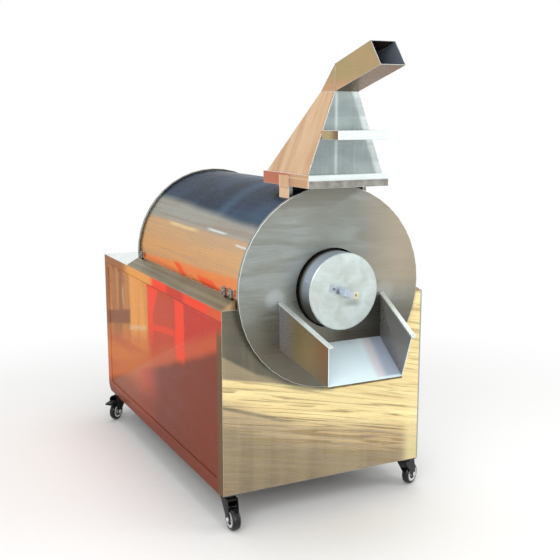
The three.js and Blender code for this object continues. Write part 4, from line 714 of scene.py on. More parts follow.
@finish
def lid_steel(steel):
    """Lid: pale mottled face with a painted shadow below the handle's grip, and a skirt that goes
    from a blue-grey painted reflection to painted shade.
    """
    lines = rolled(steel, "x", 0.42, 0.0002)
    mottle = steel.streaks(16, 0.24, 0.8)
    face = steel.mix("lid_grey", "lid_pale", mottle)
    # Painted shadow of the handle on the face, below its grip
    grip = steel.x.band(0, 0.06, 0.02) * steel.z.band(0.765, 0.785, 0.008)
    face = face.mix("disc_dark", grip * 0.45)
    # Painted blue-grey reflection high on the skirt, and painted shade low down and at its back
    skirt = steel.mix("disc_dark", "lid_blue", steel.z.fade(0.74, 0.88))
    skirt = skirt.mix("disc_dark", steel.y.fade(-0.565, -0.545))
    colour = skirt.mix(face, steel.toward("front", 0.35, 0.6))
    worn(steel, colour, lines, 0.08, Metallic=0.55)


@finish
def handle_steel(steel):
    """Bent strap in painted light: a blue painted reflection on its left arm, a lit sand face on
    its right one, a dull grip and painted shade underneath.
    """
    lines = rolled(steel, "z", 0.3, 0.0002)
    # Painted light and shade by the way each face looks: shade underneath, a blue reflection at the
    # left and a lit sand face at the right
    colour = steel.mix("lid_grey", "bare_dark", steel.toward("down", 0.3, 0.7))
    colour = colour.mix("lid_blue", steel.toward("left", 0.3, 0.6))
    colour = colour.mix("handle_sand", steel.toward("right", 0.3, 0.6))
    grip = steel.mix("lid_blue", "handle_sand", steel.x.fade(0, 0.04))
    colour = colour.mix(grip, steel.toward("front") * 0.8)
    bolt = abs(steel.x).fade(0.026, 0.03) * steel.y.fade(DISC_FACE - 0.086, DISC_FACE - 0.087)
    colour = colour.mix("front_slate", bolt * 0.8)
    worn(steel, colour, lines, 0.1, Metallic=0.4)


@finish
def chute_steel(steel):
    """Chute: a bright floor of painted reflections with a lilac right part, cheeks in painted shade
    inside, and a bronze painted reflection outside.
    """
    lines = rolled(steel, "y", 0.32, 0.0002, 0.000003)
    streak = steel.streaks((5, 2, 4), 0.25, 0.8)
    # The floor's ice, rose and lilac are painted reflections
    floor = steel.mix("chute_ice", "bright_steel", streak * 0.3)
    across = (steel.x - steel.y * 0.32).wander(0.012, 7)
    floor = floor.mix("chute_rose", across.fade(0.278, 0.306, 0, 0.8))
    floor = floor.mix("chute_lilac", across.fade(0.306, 0.34))
    # A painted highlight along the hem
    hem = steel.y.fade(-0.744, -0.752) * steel.x.fade(-0.02, 0.05)
    floor = floor.mix("chute_ice", hem * 0.8)

    # Cheeks: a bronze painted reflection toward the lip outside, painted shade low down, and
    # painted shade inside
    outer = steel.mix("chute_shade", "ledge_olive", steel.y.fade(-0.54, -0.64))
    outer = outer.mix("chute_bronze", steel.y.fade(-0.66, -0.77))
    outer = outer.mix("disc_dark", steel.z.fade(0.66, 0.58) * 0.4)
    inner = steel.mix("chute_shade", "disc_light", streak * 0.2)
    leftward = steel.toward("left")
    rightward = steel.toward("right")
    on_left = steel.x.fade(0.01, -0.01)
    on_right = steel.x.fade(-0.01, 0.01)
    colour = floor.mix(outer, leftward * on_left)
    colour = colour.mix("bare_steel", rightward * on_right)
    shaded_insides = leftward * on_right + rightward * on_left
    colour = colour.mix(inner, shaded_insides)
    # Painted shade on the faces that look down
    colour = colour.mix("front_olive", steel.toward("down"))
    floor_share = steel.toward("up")
    worn(steel, colour, lines, 0.03, Metallic=floor_share.between(0.5, 0))


@finish
def hood_steel(steel):
    """Hood: cool painted reflections at the front, a peach one at the left, and bare elsewhere,
    with painted highlights on the front.
    """
    lines = rolled(steel, "z", 0.27, 0.0005)
    streak = steel.streaks((9, 26, 2), 0.2, 0.5)
    level = steel.streaks((3, 3, 20), 0.2, 0.6, (2, 1, 4))
    peach = steel.mix("hood_clay", "hood_peach", streak)
    front = steel.mix("hood_cool", "hood_pale", level * 0.4)
    # A painted highlight down the front, and painted highlights along its sloping edges
    front = front.mix("bright_steel", steel.x.band(-0.043, -0.033, 0.004) * 0.5)
    tapered = steel.x + (steel.z - 1.207) * 0.365
    border = tapered.fade(0.108, 0.122) * level.between(0.4, 0.8)
    front = front.mix("bright_steel", border)
    # Darker clouds of painted reflection on the front
    cloud = steel.streaks((6, 3, 5), 0.2, 1, (4, 4, 9))
    front = front.mix("front_slate", cloud * 0.25)
    bare = steel.mix("bare_dark", "bare_steel", level)
    colour = bare.mix(peach, steel.toward("left", 0.3, 0.6))
    colour = colour.mix(front, steel.toward("front"))
    worn(steel, colour, lines, 0.08)


@finish
def collar_steel(steel):
    """Collar under the hood in painted light: a pale ledge, a brick left face and clay at its
    front, with painted highlights on its edges and painted shade underneath.
    """
    lines = rolled(steel, "x", 0.3, 0.0003)
    streak = steel.streaks((30, 3, 30), 0.2, 0.4)
    brick = steel.mix("collar_brick", "hood_clay", steel.y.fade(-0.45, -0.56))
    brick = brick.mix("hood_peach", steel.z.fade(1.172, 1.15))
    # Painted highlights along the left face's top and front edges
    top_edge_highlight = steel.z.band(1.192, 1.196, 0.001) * steel.y.fade(-0.49, -0.5)
    front_edge_highlight = steel.y.fade(-0.624, -0.627) * steel.z.fade(1.197, 1.194)
    brick = brick.mix("hood_peach", top_edge_highlight.larger(front_edge_highlight))
    front = steel.mix("bare_dark", "bare_steel", streak * 0.6)
    # A painted highlight along the front face's top edge
    front = front.mix("bright_steel", steel.z.fade(1.187, 1.191))
    # Painted light on the top and the other faces, and painted shade on faces that look down
    colour = steel.mix("bright_steel", front, steel.toward("front"))
    colour = colour.mix("front_slate", steel.toward("down"))
    colour = colour.mix(brick, steel.toward("left"))
    worn(steel, colour, lines)


@finish
def duct_steel(steel):
    """Duct: a khaki painted reflection at the left, bare on top, and painted shade inside its
    mouth.
    """
    lines = rolled(steel, "y", 0.3, 0.0003)
    streak = steel.streaks((4, 10, 10), 0.2, 0.8)
    khaki = steel.mix("duct_khaki", "hood_clay", streak * 0.35)
    khaki = khaki.mix("hood_clay", steel.z.fade(1.52, 1.48))
    bare = steel.mix("bare_dark", "bare_steel", streak)
    colour = bare.mix(khaki, steel.toward("left"))
    # Painted shade, in bronze, on the faces that look down
    colour = colour.mix("chute_bronze", steel.toward("down", 0.4, 0.7))
    # Painted shade inside the mouth
    inside = abs(steel.x).fade(0.043, 0.0425) * steel.y.fade(-0.7, -0.72)
    depth = steel.mix("duct_night", "lid_blue", steel.x.fade(-0.02, 0.06, 0, 0.5))
    mouth_shade = inside * abs(steel.facing[0]).fade(0.5, 0.8)
    colour = colour.mix(depth, mouth_shade)
    worn(steel, colour, lines, Metallic=mouth_shade.between(1, 0.3))


@finish
def plain_steel(steel, kind):
    """Sheet steel that nothing tints, dull upright and pale where it lies under the sky."""
    lines = rolled(steel, "x", 0.28, sizes().casing_dent)
    streak = steel.streaks((3, 3, 9), 0.25, 0.7)
    tones = ("bare_steel", "bright_steel") if kind == "pale" else ("bare_dark", "bare_steel")
    colour = steel.mix(*tones, streak.between(0.6, 1))
    worn(steel, colour, lines, Metallic=0.5 if kind == "pale" else 0.95)


@finish
def warm_edge(steel):
    """Folded edges of the left side panel and its ledge, in olive and clay painted reflections."""
    scuff = steel.streaks(14, 0.3, 0.5)
    lines = rolled(steel, "y", 0.3, 0.0002, 0.000008)
    worn(steel, steel.mix("ledge_olive", "hood_clay", scuff), lines, 0.05, Metallic=0.5)


@finish
def strap_steel(steel):
    """Strap across the hood in painted light: a bright lit front, an olive painted reflection at
    its left end and painted shade underneath.
    """
    lines = rolled(steel, "x", 0.3, 0.0002)
    left = steel.mix("duct_khaki", "chute_bronze", steel.y.fade(-0.66, -0.71))
    colour = steel.mix("bright_steel", left, steel.toward("left"))
    colour = colour.mix("bare_dark", steel.toward("down"))
    worn(steel, colour, lines, 0.06, Metallic=0.6)


@finish
def bright_edge(steel):
    """Ground edges, stays and the strap: bright steel, with a painted highlight on the edges."""
    scuff = steel.streaks(14, 0.3, 0.5)
    colour = steel.mix("bright_steel", "bare_steel", scuff * 0.35)
    grained(steel, colour, scuff.between(0.26, 0.36), 400, 0.00003, Metallic=0.6)


@finish
def mill_steel(steel):
    """Hot-rolled steel with scale, oil and a little rust."""
    scale = steel.streaks(11, 0.2, 1.4)
    spots = steel.noise(34, 5, 0.6, (2, 2, 7)).fade(0.6, 0.72)
    colour = steel.mix("mill_steel", "mill_scale", scale).mix("rust", spots * 0.5)
    rough = scale.between(0.42, 0.6) + spots * 0.2
    grained(steel, colour, rough, 160, 0.00012, 4, Metallic=0.85)


@finish
def machine_paint(coat):
    """Thick paint on castings, rubbed thin on what stands out."""
    rubbed = coat.noise(26, 6, 0.8).fade(0.6, 0.7)
    colour = coat.mix("gearbox_paint", "gearbox_chip", rubbed * 0.45)
    rough = coat.noise(14).fade(0.3, 0.7, 0.38, 0.52)
    grained(coat, colour, rough, 420, 0.00014, Coat_Weight=0.25)


@finish
def black_moulding(coat):
    """Black caster bodies, pedals and knob, with dust in their grain."""
    dust = coat.noise(45, 6, 0.4).fade(0.56, 0.76)
    colour = coat.mix("black_plastic", "black_dust", dust * 0.35)
    grained(coat, colour, dust.between(0.36, 0.55), 900, 0.00005, Specular_IOR_Level=0.22)


@finish
def tyre_rubber(coat):
    """Smooth tyre, dull where it has rolled."""
    dust = coat.noise(60, 6, 0.6).fade(0.5, 0.75)
    colour = coat.mix("tyre_black", "black_dust", dust * 0.4)
    grained(coat, colour, dust.between(0.2, 0.5), 300, 0.00008, 3, Specular_IOR_Level=0.4)


@finish
def hub_moulding(coat):
    """Light grey hub of a caster wheel."""
    grime = coat.noise(70, 5, 0.5).fade(0.55, 0.75)
    colour = coat.mix("hub_grey", "black_dust", grime * 0.4)
    grained(coat, colour, grime.between(0.28, 0.5), 500, 0.00004)


@finish
def button_moulding(coat, kind):
    """Glossy button in its own colour."""
    base = getattr(colours(), kind)
    rub = coat.noise(120, 4).fade(0.45, 0.7)
    colour = coat.mix(tuple(base), tuple(0.75 * value for value in base), rub)
    grained(coat, colour, rub.between(0.2, 0.34), 600, 0.00003)


@finish
def belt_rubber(coat):
    """Matt rubber with the weave of its cover."""
    weave = coat.noise((700, 700, 240), 2)
    colour = coat.mix("tyre_black", "black_dust", weave.fade(0.4, 0.7, 0, 0.4))
    coat.set(Base_Color=colour, Roughness=weave.fade(0.3, 0.7, 0.6, 0.8))
    coat.bump(weave, 0.0002)


@finish
def pressed_wool(coat):
    """Mineral wool, fluffy at its cut ends."""
    tufts = coat.noise(90, 6, 1.5)
    colour = coat.mix("wool", "panel_umber", tufts.fade(0.5, 0.8, 0, 0.35))
    coat.set(Base_Color=colour, Roughness=tufts.fade(0.3, 0.7, 0.88, 1))
    coat.bump(tufts, 0.002)


@finish
def display_figures(coat):
    """Lit figures behind the display's window."""
    glow = coat.noise(900, 1)
    colour = coat.mix("display_light", "stop_red", glow.fade(0.3, 0.7, 0, 0.4))
    coat.set(Base_Color=colour, Roughness=glow.fade(0.3, 0.7, 0.3, 0.4))
    coat.set(Emission_Color="display_light", Emission_Strength=0.6)


# Forms


def body_of(node):
    return frame["nodes"][node]["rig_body"]


def points_of(node):
    return [vertex.co for vertex in frame["nodes"][node].data.vertices]


def meshed(name, mesh):
    """Turns a bmesh into a mesh."""
    data = bpy.data.meshes.new(name)
    mesh.to_mesh(data)
    mesh.free()
    return data


def placed(name, data):
    """Puts a mesh, lamp or camera in the scene."""
    made = bpy.data.objects.new(name, data)
    bpy.context.scene.collection.objects.link(made)
    return made


def settled(name, mesh, body, finishes):
    """Turns a finished bmesh into a piece that rides on a body."""
    bmesh.ops.recalc_face_normals(mesh, faces=mesh.faces)
    data = meshed(name, mesh)
    data.polygons.foreach_set("use_smooth", [True] * len(data.polygons))
    data.set_sharp_from_angle(angle=SHARP_ANGLE)
    for material in finishes:
        data.materials.append(material)
    piece = placed(name, data)
    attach(piece, body)
    return piece


def rounded(piece, edge, edge_finish=-1):
    """Rounds the sharp edges of a piece and keeps its flat faces flat."""
    bevel = piece.modifiers.new("rounded_edges", "BEVEL")
    bevel.width = edge
    bevel.segments = 2
    bevel.limit_method = "ANGLE"
    bevel.angle_limit = SHARP_ANGLE
    bevel.harden_normals = True
    bevel.material = edge_finish


def dressed(node, edge, face, fold=None):
    """Stands in for a frame node with its own shape, joined facets and rounded edges."""
    mesh = bmesh.new()
    mesh.from_mesh(frame["nodes"][node].data)
    bmesh.ops.remove_doubles(mesh, verts=mesh.verts, dist=JOIN_DISTANCE)
    bmesh.ops.dissolve_limit(mesh, angle_limit=FLAT_ANGLE, verts=mesh.verts, edges=mesh.edges)
    for polygon in mesh.faces:
        polygon.material_index = 0
    finishes = [face, fold] if fold else [face]
    piece = settled(node + "_dressed", mesh, body_of(node), finishes)
    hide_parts(node)
    rounded(piece, edge, 1 if fold else -1)


def coated(node, material):
    """Gives a frame node, which keeps its own mesh, a finish."""
    node_object = frame["nodes"][node]
    if not node_object.material_slots:
        node_object.data.materials.append(material)
    for held in node_object.material_slots:
        held.material = material


def circle(axis, count):
    """Directions round an axis, evenly turned."""
    along = Vector(axis).normalized()
    side = along.orthogonal().normalized()
    up = along.cross(side)
    turns = [2 * math.pi * i / count for i in range(count)]
    return [side * math.cos(turn) + up * math.sin(turn) for turn in turns]


def sweep_rings(mesh, rings, closed=False):
    """Joins rings of points with quads, and caps the ends."""
    made = [[mesh.verts.new(point) for point in ring] for ring in rings]
    pairs = list(zip(made, made[1:]))
    if closed:
        pairs.append((made[-1], made[0]))
    for near, far in pairs:
        for i in range(len(near)):
            k = (i + 1) % len(near)
            mesh.faces.new((near[i], near[k], far[k], far[i]))
    if not closed:
        mesh.faces.new(reversed(made[0]))
        mesh.faces.new(made[-1])


def spin_profile(mesh, profile, place, axis, steps=ROUND_STEPS):
    """Turns a closed profile of (radius, distance along the axis) about an axis."""
    along = Vector(axis).normalized()
    rings = [[place + out * r + along * d for r, d in profile] for out in circle(axis, steps)]
    sweep_rings(mesh, rings, closed=True)


def hex_head(mesh, place, axis, radius, height):
    """A six-sided bolt head with a chamfered top."""
    along = Vector(axis).normalized()
    rings = []
    for share, lift in HEAD_SHARES:
        middle = Vector(place) + along * (height * lift)
        rings.append([middle + radius * share * out for out in circle(axis, 6)])
    sweep_rings(mesh, rings)


def bar(mesh, low, high):
    """A box between two corners, as its new corners."""
    made = bmesh.ops.create_cube(mesh, size=1)["verts"]
    bmesh.ops.scale(mesh, vec=Vector(high) - Vector(low), verts=made)
    bmesh.ops.translate(mesh, vec=(Vector(low) + Vector(high)) / 2, verts=made)
    return made


def bead(mesh, start, end):
    """A rippled weld bead along a straight joint."""
    first, along = Vector(start), Vector(end) - Vector(start)
    half = sizes().weld_width / 2
    ripples = max(2, round(along.length / sizes().weld_pitch)) * 2
    rings = []
    for step in range(ripples + 1):
        radius = half * (1 if step % 2 else VALLEY_SHARE)
        middle = first + along * (step / ripples)
        rings.append([middle + radius * out for out in circle(along, BEAD_SIDES)])
    sweep_rings(mesh, rings)


def welds(name, joints, material):
    """All the beads of one kind, as one piece."""
    mesh = bmesh.new()
    for start, end in joints:
        bead(mesh, start, end)
    settled(name, mesh, "cabinet", [material])


# Operators


class Dresser(Operator):
    """Base of the operators, which each finish one group of pieces."""

    bl_options = {"REGISTER", "UNDO"}

    def execute(self, context):
        self.dress(sizes())
        return {"FINISHED"}


class RoasterCabinet(Dresser):
    """Finishes the cabinet's frame, panels, ledges and drive cover"""

    bl_idname = "roaster.cabinet"
    bl_label = "Cabinet panels"

    def dress(self, size):
        for side in SIDES:
            fold = warm_edge() if side == "left" else bright_edge()
            dressed("side_panel_" + side, size.panel_edge, side_steel(side), fold)
            dressed("ledge_" + side, size.sheet_edge, ledge_steel(side), fold)
        dressed("front_panel", size.sheet_edge, front_steel(), bright_edge())
        dressed("rear_panel", size.sheet_edge, plain_steel("dull"), bright_edge())
        dressed("drive_cover", size.sheet_edge, plain_steel("pale"), bright_edge())
        self.screws(size)
        self.ledge_caps(size)
        members = ["cross_member_" + place for place in ("front", "rear", "drive")]
        for node in ("side_frame_left", "side_frame_right", "bearing_beam", *members):
            dressed(node, size.bar_edge, mill_steel())

    def screws(self, size):
        """Screws that hold the drive cover's flange down on the cabinet."""
        low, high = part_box("drive_cover")
        seat = sorted({round(point.z, 4) for point in points_of("drive_cover")})[1]
        depth = high.y - low.y
        inset = depth * SCREW_INSET_SHARE
        mesh = bmesh.new()
        for share in SCREW_SHARES:
            for x in (low.x + inset, high.x - inset):
                place = (x, low.y + share * depth, seat)
                hex_head(mesh, place, (0, 0, 1), size.screw_radius, size.screw_height)
        settled("drive_cover_screws", mesh, "cabinet", [bright_edge()])

    def ledge_caps(self, size):
        """Plates that close the front ends of the ledges over the front panel."""
        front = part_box("front_panel")[0].y
        wall = size.fold_wall
        mesh = bmesh.new()
        for way, side in zip((-1, 1), SIDES):
            low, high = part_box("ledge_" + side)
            near, far = sorted((low.x, high.x), key=abs)
            inner, outer = near + way * wall, far - way * wall
            outline = [(outer, low.z), (inner, low.z), (inner, high.z - wall * 2)]
            faces = (front + wall, front + wall * 2)
            sweep_rings(mesh, [[(x, y, z) for x, z in outline] for y in faces])
        settled("ledge_caps", mesh, "cabinet", [warm_edge()])


class RoasterCasing(Dresser):
    """Finishes the casing, its discs, wool and heating tubes"""

    bl_idname = "roaster.casing"
    bl_label = "Drum casing"

    def dress(self, size):
        dressed("drum_cover", size.sheet_edge, cover_steel(), bright_edge())
        dressed("lower_casing", size.sheet_edge, plain_steel("dull"), bright_edge())
        dressed("front_end_disc", size.disc_edge, disc_steel(), bright_edge())
        dressed("rear_end_disc", size.disc_edge, disc_steel())
        coated("insulation", pressed_wool())
        for side in SIDES:
            coated("heater_" + side, mill_steel())


class RoasterDrum(Dresser):
    """Finishes the drum, its flights, rollers and lid"""

    bl_idname = "roaster.drum"
    bl_label = "Drum and lid"

    def dress(self, size):
        dressed("roasting_drum", size.bar_edge, mill_steel())
        for flight in ("drum_flight_1", "drum_flight_2"):
            coated(flight, mill_steel())
        dressed("lid", size.lid_edge, lid_steel())
        dressed("lid_handle", size.bar_edge, handle_steel(), bright_edge())
        for side in SIDES:
            dressed("roller_bracket_" + side, size.bar_edge, mill_steel())
            dressed("front_roller_" + side, size.bar_edge, plain_steel("dull"))


class RoasterChute(Dresser):
    """Finishes the chute and its stays"""

    bl_idname = "roaster.chute"
    bl_label = "Discharge chute"

    def dress(self, size):
        dressed("chute", size.sheet_edge, chute_steel(), bright_edge())
        for side in SIDES:
            dressed("chute_stay_" + side, size.bar_edge, bright_edge())
        low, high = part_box("chute")
        back = [point.z for point in points_of("chute") if point.y > high.y - ON_FACE]
        y = high.y - size.weld_width / 4
        joints = [((x, y, min(back)), (x, y, max(back))) for x in (-high.x, high.x)]
        joints.append(((low.x, y, min(back)), (high.x, y, min(back))))
        welds("chute_welds", joints, disc_steel())
        self.hem(size)

    def hem(self, size):
        """The floor's front edge, folded down."""
        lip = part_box("chute")[0].z
        edge = [point for point in points_of("chute") if point.z < lip + ON_FACE]
        front = min(point.y for point in edge)
        half = max(point.x for point in edge)
        mesh = bmesh.new()
        bar(mesh, (-half, front, lip - size.hem_height), (half, front + size.fold_wall, lip))
        hem = settled("chute_hem", mesh, "cabinet", [ledge_steel("left")])
        rounded(hem, size.sheet_edge)


class RoasterHood(Dresser):
    """Finishes the fume hood, its collar, duct and strap"""

    bl_idname = "roaster.hood"
    bl_label = "Fume hood"

    def dress(self, size):
        dressed("hood_collar", size.sheet_edge, collar_steel(), bright_edge())
        dressed("hood", size.sheet_edge, hood_steel(), bright_edge())
        dressed("exhaust_duct", size.sheet_edge, duct_steel(), bright_edge())
        dressed("hood_strap", size.bar_edge, strap_steel(), bright_edge())
        low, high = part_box("hood")
        corners = [(low.x, low.y), (high.x, low.y), (high.x, high.y), (low.x, high.y)]
        foot = [(x, y, low.z) for x, y in corners]
        welds("hood_welds", zip(foot, foot[1:] + foot[:1]), hood_steel())
        self.mitres()
        self.leg_plates(size)

    def mitres(self):
        """Welds along the duct's mitred bend."""
        low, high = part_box("exhaust_duct")
        points = points_of("exhaust_duct")
        foot = [point.y for point in points if point.z < low.z + ON_FACE]
        bend = [
            point for point in points
            if point.y > max(foot) - BEND_REACH and point.z < high.z - MOUTH_RISE
        ]
        top = max(bend, key=lambda point: point.z)
        joints = [((x, top.y, top.z), (x, min(foot), low.z)) for x in (-high.x, high.x)]
        welds("duct_welds", joints, duct_steel())

    def leg_plates(self, size):
        """Plates that lap each leg over the collar's side."""
        points = points_of("hood_collar")
        low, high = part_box("hood_collar")
        skirt = min(point.z for point in points if point.y < low.y + ON_FACE)
        leg = [point.y for point in points if point.z < low.z + ON_FACE and point.x < 0]
        foot, top = skirt - size.hem_height, high.z - size.hem_height
        mesh = bmesh.new()
        for face in (low.x, high.x):
            left, right = sorted((face, face + math.copysign(size.fold_wall, face)))
            bar(mesh, (left, min(leg), foot), (right, max(leg), top))
        finishes = [hood_steel(), bright_edge()]
        plates = settled("leg_plates", mesh, "cabinet", finishes)
        rounded(plates, size.sheet_edge)


class RoasterDrive(Dresser):
    """Finishes the bearing, pulleys, belt and gearmotor"""

    bl_idname = "roaster.drive"
    bl_label = "Drive"

    def dress(self, size):
        for node in ("rear_bearing", "gearmotor"):
            dressed(node, size.cast_edge, machine_paint())
        for node in ("drum_pulley", "motor_pulley"):
            dressed(node, size.bar_edge, mill_steel())
        dressed("drive_belt", size.bar_edge, belt_rubber())


class RoasterControls(Dresser):
    """Finishes the control box, its door, knob, buttons and display"""

    bl_idname = "roaster.controls"
    bl_label = "Controls"

    def dress(self, size):
        for node in ("control_box", "control_door"):
            dressed(node, size.sheet_edge, plain_steel("dull"), bright_edge())
        dressed("selector_knob", size.moulded_edge, black_moulding())
        self.dial(size)
        self.display(size.figure_stroke)
        dressed("start_button", size.moulded_edge, button_moulding("start_green"))
        dressed("stop_button", size.moulded_edge, button_moulding("stop_red"))

    def dial(self, size):
        """A white line on the knob's ridge, and marks on the door round the knob."""
        low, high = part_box("selector_knob")
        middle = (low + high) / 2
        half = size.figure_stroke / 4
        mesh = bmesh.new()
        start = (high.x - half, middle.y - half, middle.z + half)
        bar(mesh, start, (high.x + half / 4, middle.y + half, high.z - half * 3))
        settled("knob_pointer", mesh, "selector_knob", [hub_moulding()])
        radius = (high.z - low.z) / 2
        face = low.x - SEAT_GAP
        half = size.figure_stroke / 5
        near, far = (radius * share for share in TICK_SHARES)
        mesh = bmesh.new()
        for degrees in TICK_ANGLES:
            turn = Matrix.Rotation(math.radians(degrees), 4, "X")
            tick = bar(mesh, (face - half / 3, -half, near), (face + half / 3, half, far))
            bmesh.ops.transform(mesh, matrix=turn, verts=tick)
            bmesh.ops.translate(mesh, vec=(0, middle.y, middle.z), verts=tick)
        settled("knob_ticks", mesh, "control_door", [black_moulding()])

    def display(self, stroke):
        """A dark window on the display's housing, with the temperature in it."""
        low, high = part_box("control_door")
        middle, reach = (low.y + high.y) / 2, (high.y - low.y) / 4
        rim = [
            point for point in points_of("control_door")
            if point.x > high.x - FLUSH and abs(point.y - middle) < reach
        ]
        low, high = (Vector([pick(p[i] for p in rim) for i in range(3)]) for pick in (min, max))
        inner, outer = WINDOW_LIFTS
        mesh = bmesh.new()
        bar(mesh, low + Vector((inner, stroke, stroke)), high + Vector((outer, -stroke, -stroke)))
        glass = settled("display_window", mesh, "control_door", [black_moulding()])
        rounded(glass, stroke / 8)
        tall = (high.z - low.z) - stroke * 5
        wide = tall * FIGURE_WIDTH_SHARE
        centre = (low + high) / 2
        mesh = bmesh.new()
        for place, figure in enumerate(FIGURES):
            left = centre.y + (place - 1) * wide * FIGURE_PITCH_SHARE - wide / 2
            for name in STROKES[figure]:
                corner = Vector((high.x, left, centre.z - tall / 2))
                self.stroke(mesh, name, corner, wide, tall, stroke)
        settled("display_figures", mesh, "control_door", [display_figures()])

    def stroke(self, mesh, name, corner, wide, tall, stroke):
        """One of the seven strokes of a figure, seen from the right side."""
        half = tall / 2
        gap = stroke / 5
        rows = {"bottom": 0, "middle": half - stroke / 2, "top": tall - stroke}
        if name in rows:
            left, right = stroke + gap, wide - stroke - gap
            low, high = rows[name], rows[name] + stroke
        else:
            row, side = name.split("_")
            left = 0 if side == "left" else wide - stroke
            right = left + stroke
            low = gap if row == "lower" else half + gap
            high = low + half - gap * 2
        back, front = FIGURE_LIFTS
        bar(mesh, corner + Vector((back, left, low)), corner + Vector((front, right, high)))


class RoasterCasters(Dresser):
    """Makes the casters' tyres, hubs and nuts, and finishes their forks and brake pedals"""

    bl_idname = "roaster.casters"
    bl_label = "Casters"

    def dress(self, size):
        for caster in CASTERS:
            dressed("caster_fork_" + caster, size.moulded_edge, black_moulding())
            joint = next(j for j in frame["joints"] if j["name"] == "roll_" + caster)
            centre, axle = Vector(joint["pos_m"]), Vector(joint["axis"]).normalized()
            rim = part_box("caster_hub_" + caster)[1].z - centre.z
            half = self.width(caster, axle, centre.z) / 2
            self.tyre(caster, centre, axle, rim, half, size)
            self.hub(caster, centre, axle, rim, half, size)
            self.nuts(caster, centre, axle, size)
            self.web(caster, centre, axle, half, size)
        for caster in CASTERS[2:]:
            dressed("brake_pedal_" + caster, size.moulded_edge, black_moulding())

    def width(self, caster, axle, radius):
        """The tyre's width along its axle, from its box and the way it is turned."""
        low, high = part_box("caster_tyre_" + caster)
        along, across = sorted((abs(axle.x), abs(axle.y)), reverse=True)
        span = high.x - low.x if abs(axle.x) == along else high.y - low.y
        return (span - 2 * radius * across) / along

    def tyre(self, caster, centre, axle, rim, half, size):
        """A tyre with round shoulders and a shallow crown."""
        radius, shoulder = centre.z, size.tyre_shoulder
        crown = shoulder / 10
        profile = [(rim, -half), (radius - shoulder, -half)]
        for step in range(1, SHOULDER_STEPS + 1):
            turn = math.pi / 2 * step / SHOULDER_STEPS
            inset = shoulder * (1 - math.sin(turn))
            profile.append((radius - crown - inset, shoulder * (1 - math.cos(turn)) - half))
        profile += [(radius, 0)] + [(r, -d) for r, d in reversed(profile)]
        mesh = bmesh.new()
        spin_profile(mesh, profile, centre, axle)
        tyre = settled("tyre_" + caster, mesh, "wheel_" + caster, [tyre_rubber()])
        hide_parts("caster_tyre_" + caster)

    def hub(self, caster, centre, axle, rim, half, size):
        """A hub with a light ring, a dark recess and a light boss on each face."""
        ring = rim - size.hub_ring
        boss = rim * BOSS_SHARE
        bore = rim * BORE_SHARE
        deep = half - size.hub_recess
        lip = size.hub_recess / 8
        side = [(rim, half - lip * 2), (rim - lip, half), (ring + lip, half), (ring, half - lip)]
        side += [(ring, deep), (boss, deep), (boss, half - lip * 2)]
        side += [(boss - lip, half - lip), (bore, half - lip)]
        mesh = bmesh.new()
        spin_profile(mesh, side + [(r, -d) for r, d in reversed(side)], centre, axle)
        for face in mesh.faces:
            out = face.calc_center_median() - centre
            along = out.dot(axle)
            across = (out - axle * along).length
            between = boss * 0.99 < across < ring * 1.01
            face.material_index = int(between and abs(along) < half - lip * 1.5)
        finishes = [hub_moulding(), black_moulding()]
        hub = settled("hub_" + caster, mesh, "wheel_" + caster, finishes)
        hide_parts("caster_hub_" + caster)

    def web(self, caster, centre, axle, half, size):
        """A bowed web that joins the fork's legs along their back edge."""
        points = [point - centre for point in points_of("caster_fork_" + caster)]
        trail = axle.cross(Vector((0, 0, 1)))
        if sum(point.dot(trail) for point in points) > 0:
            trail = -trail
        legs = [point for point in points if abs(point.dot(axle)) > half]
        back = min(point.dot(trail) for point in legs)
        eye = -min(point.z for point in legs)
        heel = min(point.z for point in legs if point.dot(trail) < back + size.web_wall)
        top = Vector((back, heel))
        foot = top.lerp(Vector(WEB_FOOT_SHARES) * eye, WEB_SHARE)
        inward = Vector((top.y - foot.y, foot.x - top.x)).normalized() * size.web_wall
        outer = []
        for step in range(WEB_STEPS + 1):
            share = step / WEB_STEPS
            outer.append(top.lerp(foot, share) + inward * (1 - 4 * share * (1 - share)))
        outline = outer + [point + inward for point in reversed(outer)]
        rings = []
        for reach in (-half - size.web_wall, half + size.web_wall):
            end = centre + axle * reach
            rings.append([end + trail * a + Vector((0, 0, b)) for a, b in outline])
        mesh = bmesh.new()
        sweep_rings(mesh, rings)
        settled("fork_web_" + caster, mesh, "fork_" + caster, [black_moulding()])

    def nuts(self, caster, centre, axle, size):
        """A nut and a domed washer on each end of the axle."""
        points = [point - centre for point in points_of("caster_fork_" + caster)]
        reach = max(abs(p.dot(axle)) for p in points if abs(p.z) < size.nut_radius)
        wall, radius = size.washer_wall, size.nut_radius
        bore = wall * 4
        mesh = bmesh.new()
        for out in (-axle, axle):
            seat = centre + out * (reach - wall * 2)
            washer = [(bore, 0), (radius, 0), (radius, wall), (bore, wall * 2)]
            spin_profile(mesh, washer, seat, out, WASHER_STEPS)
            hex_head(mesh, seat + out * wall, out, radius * NUT_SHARE, bore)
        settled("axle_nuts_" + caster, mesh, "fork_" + caster, [bright_edge()])


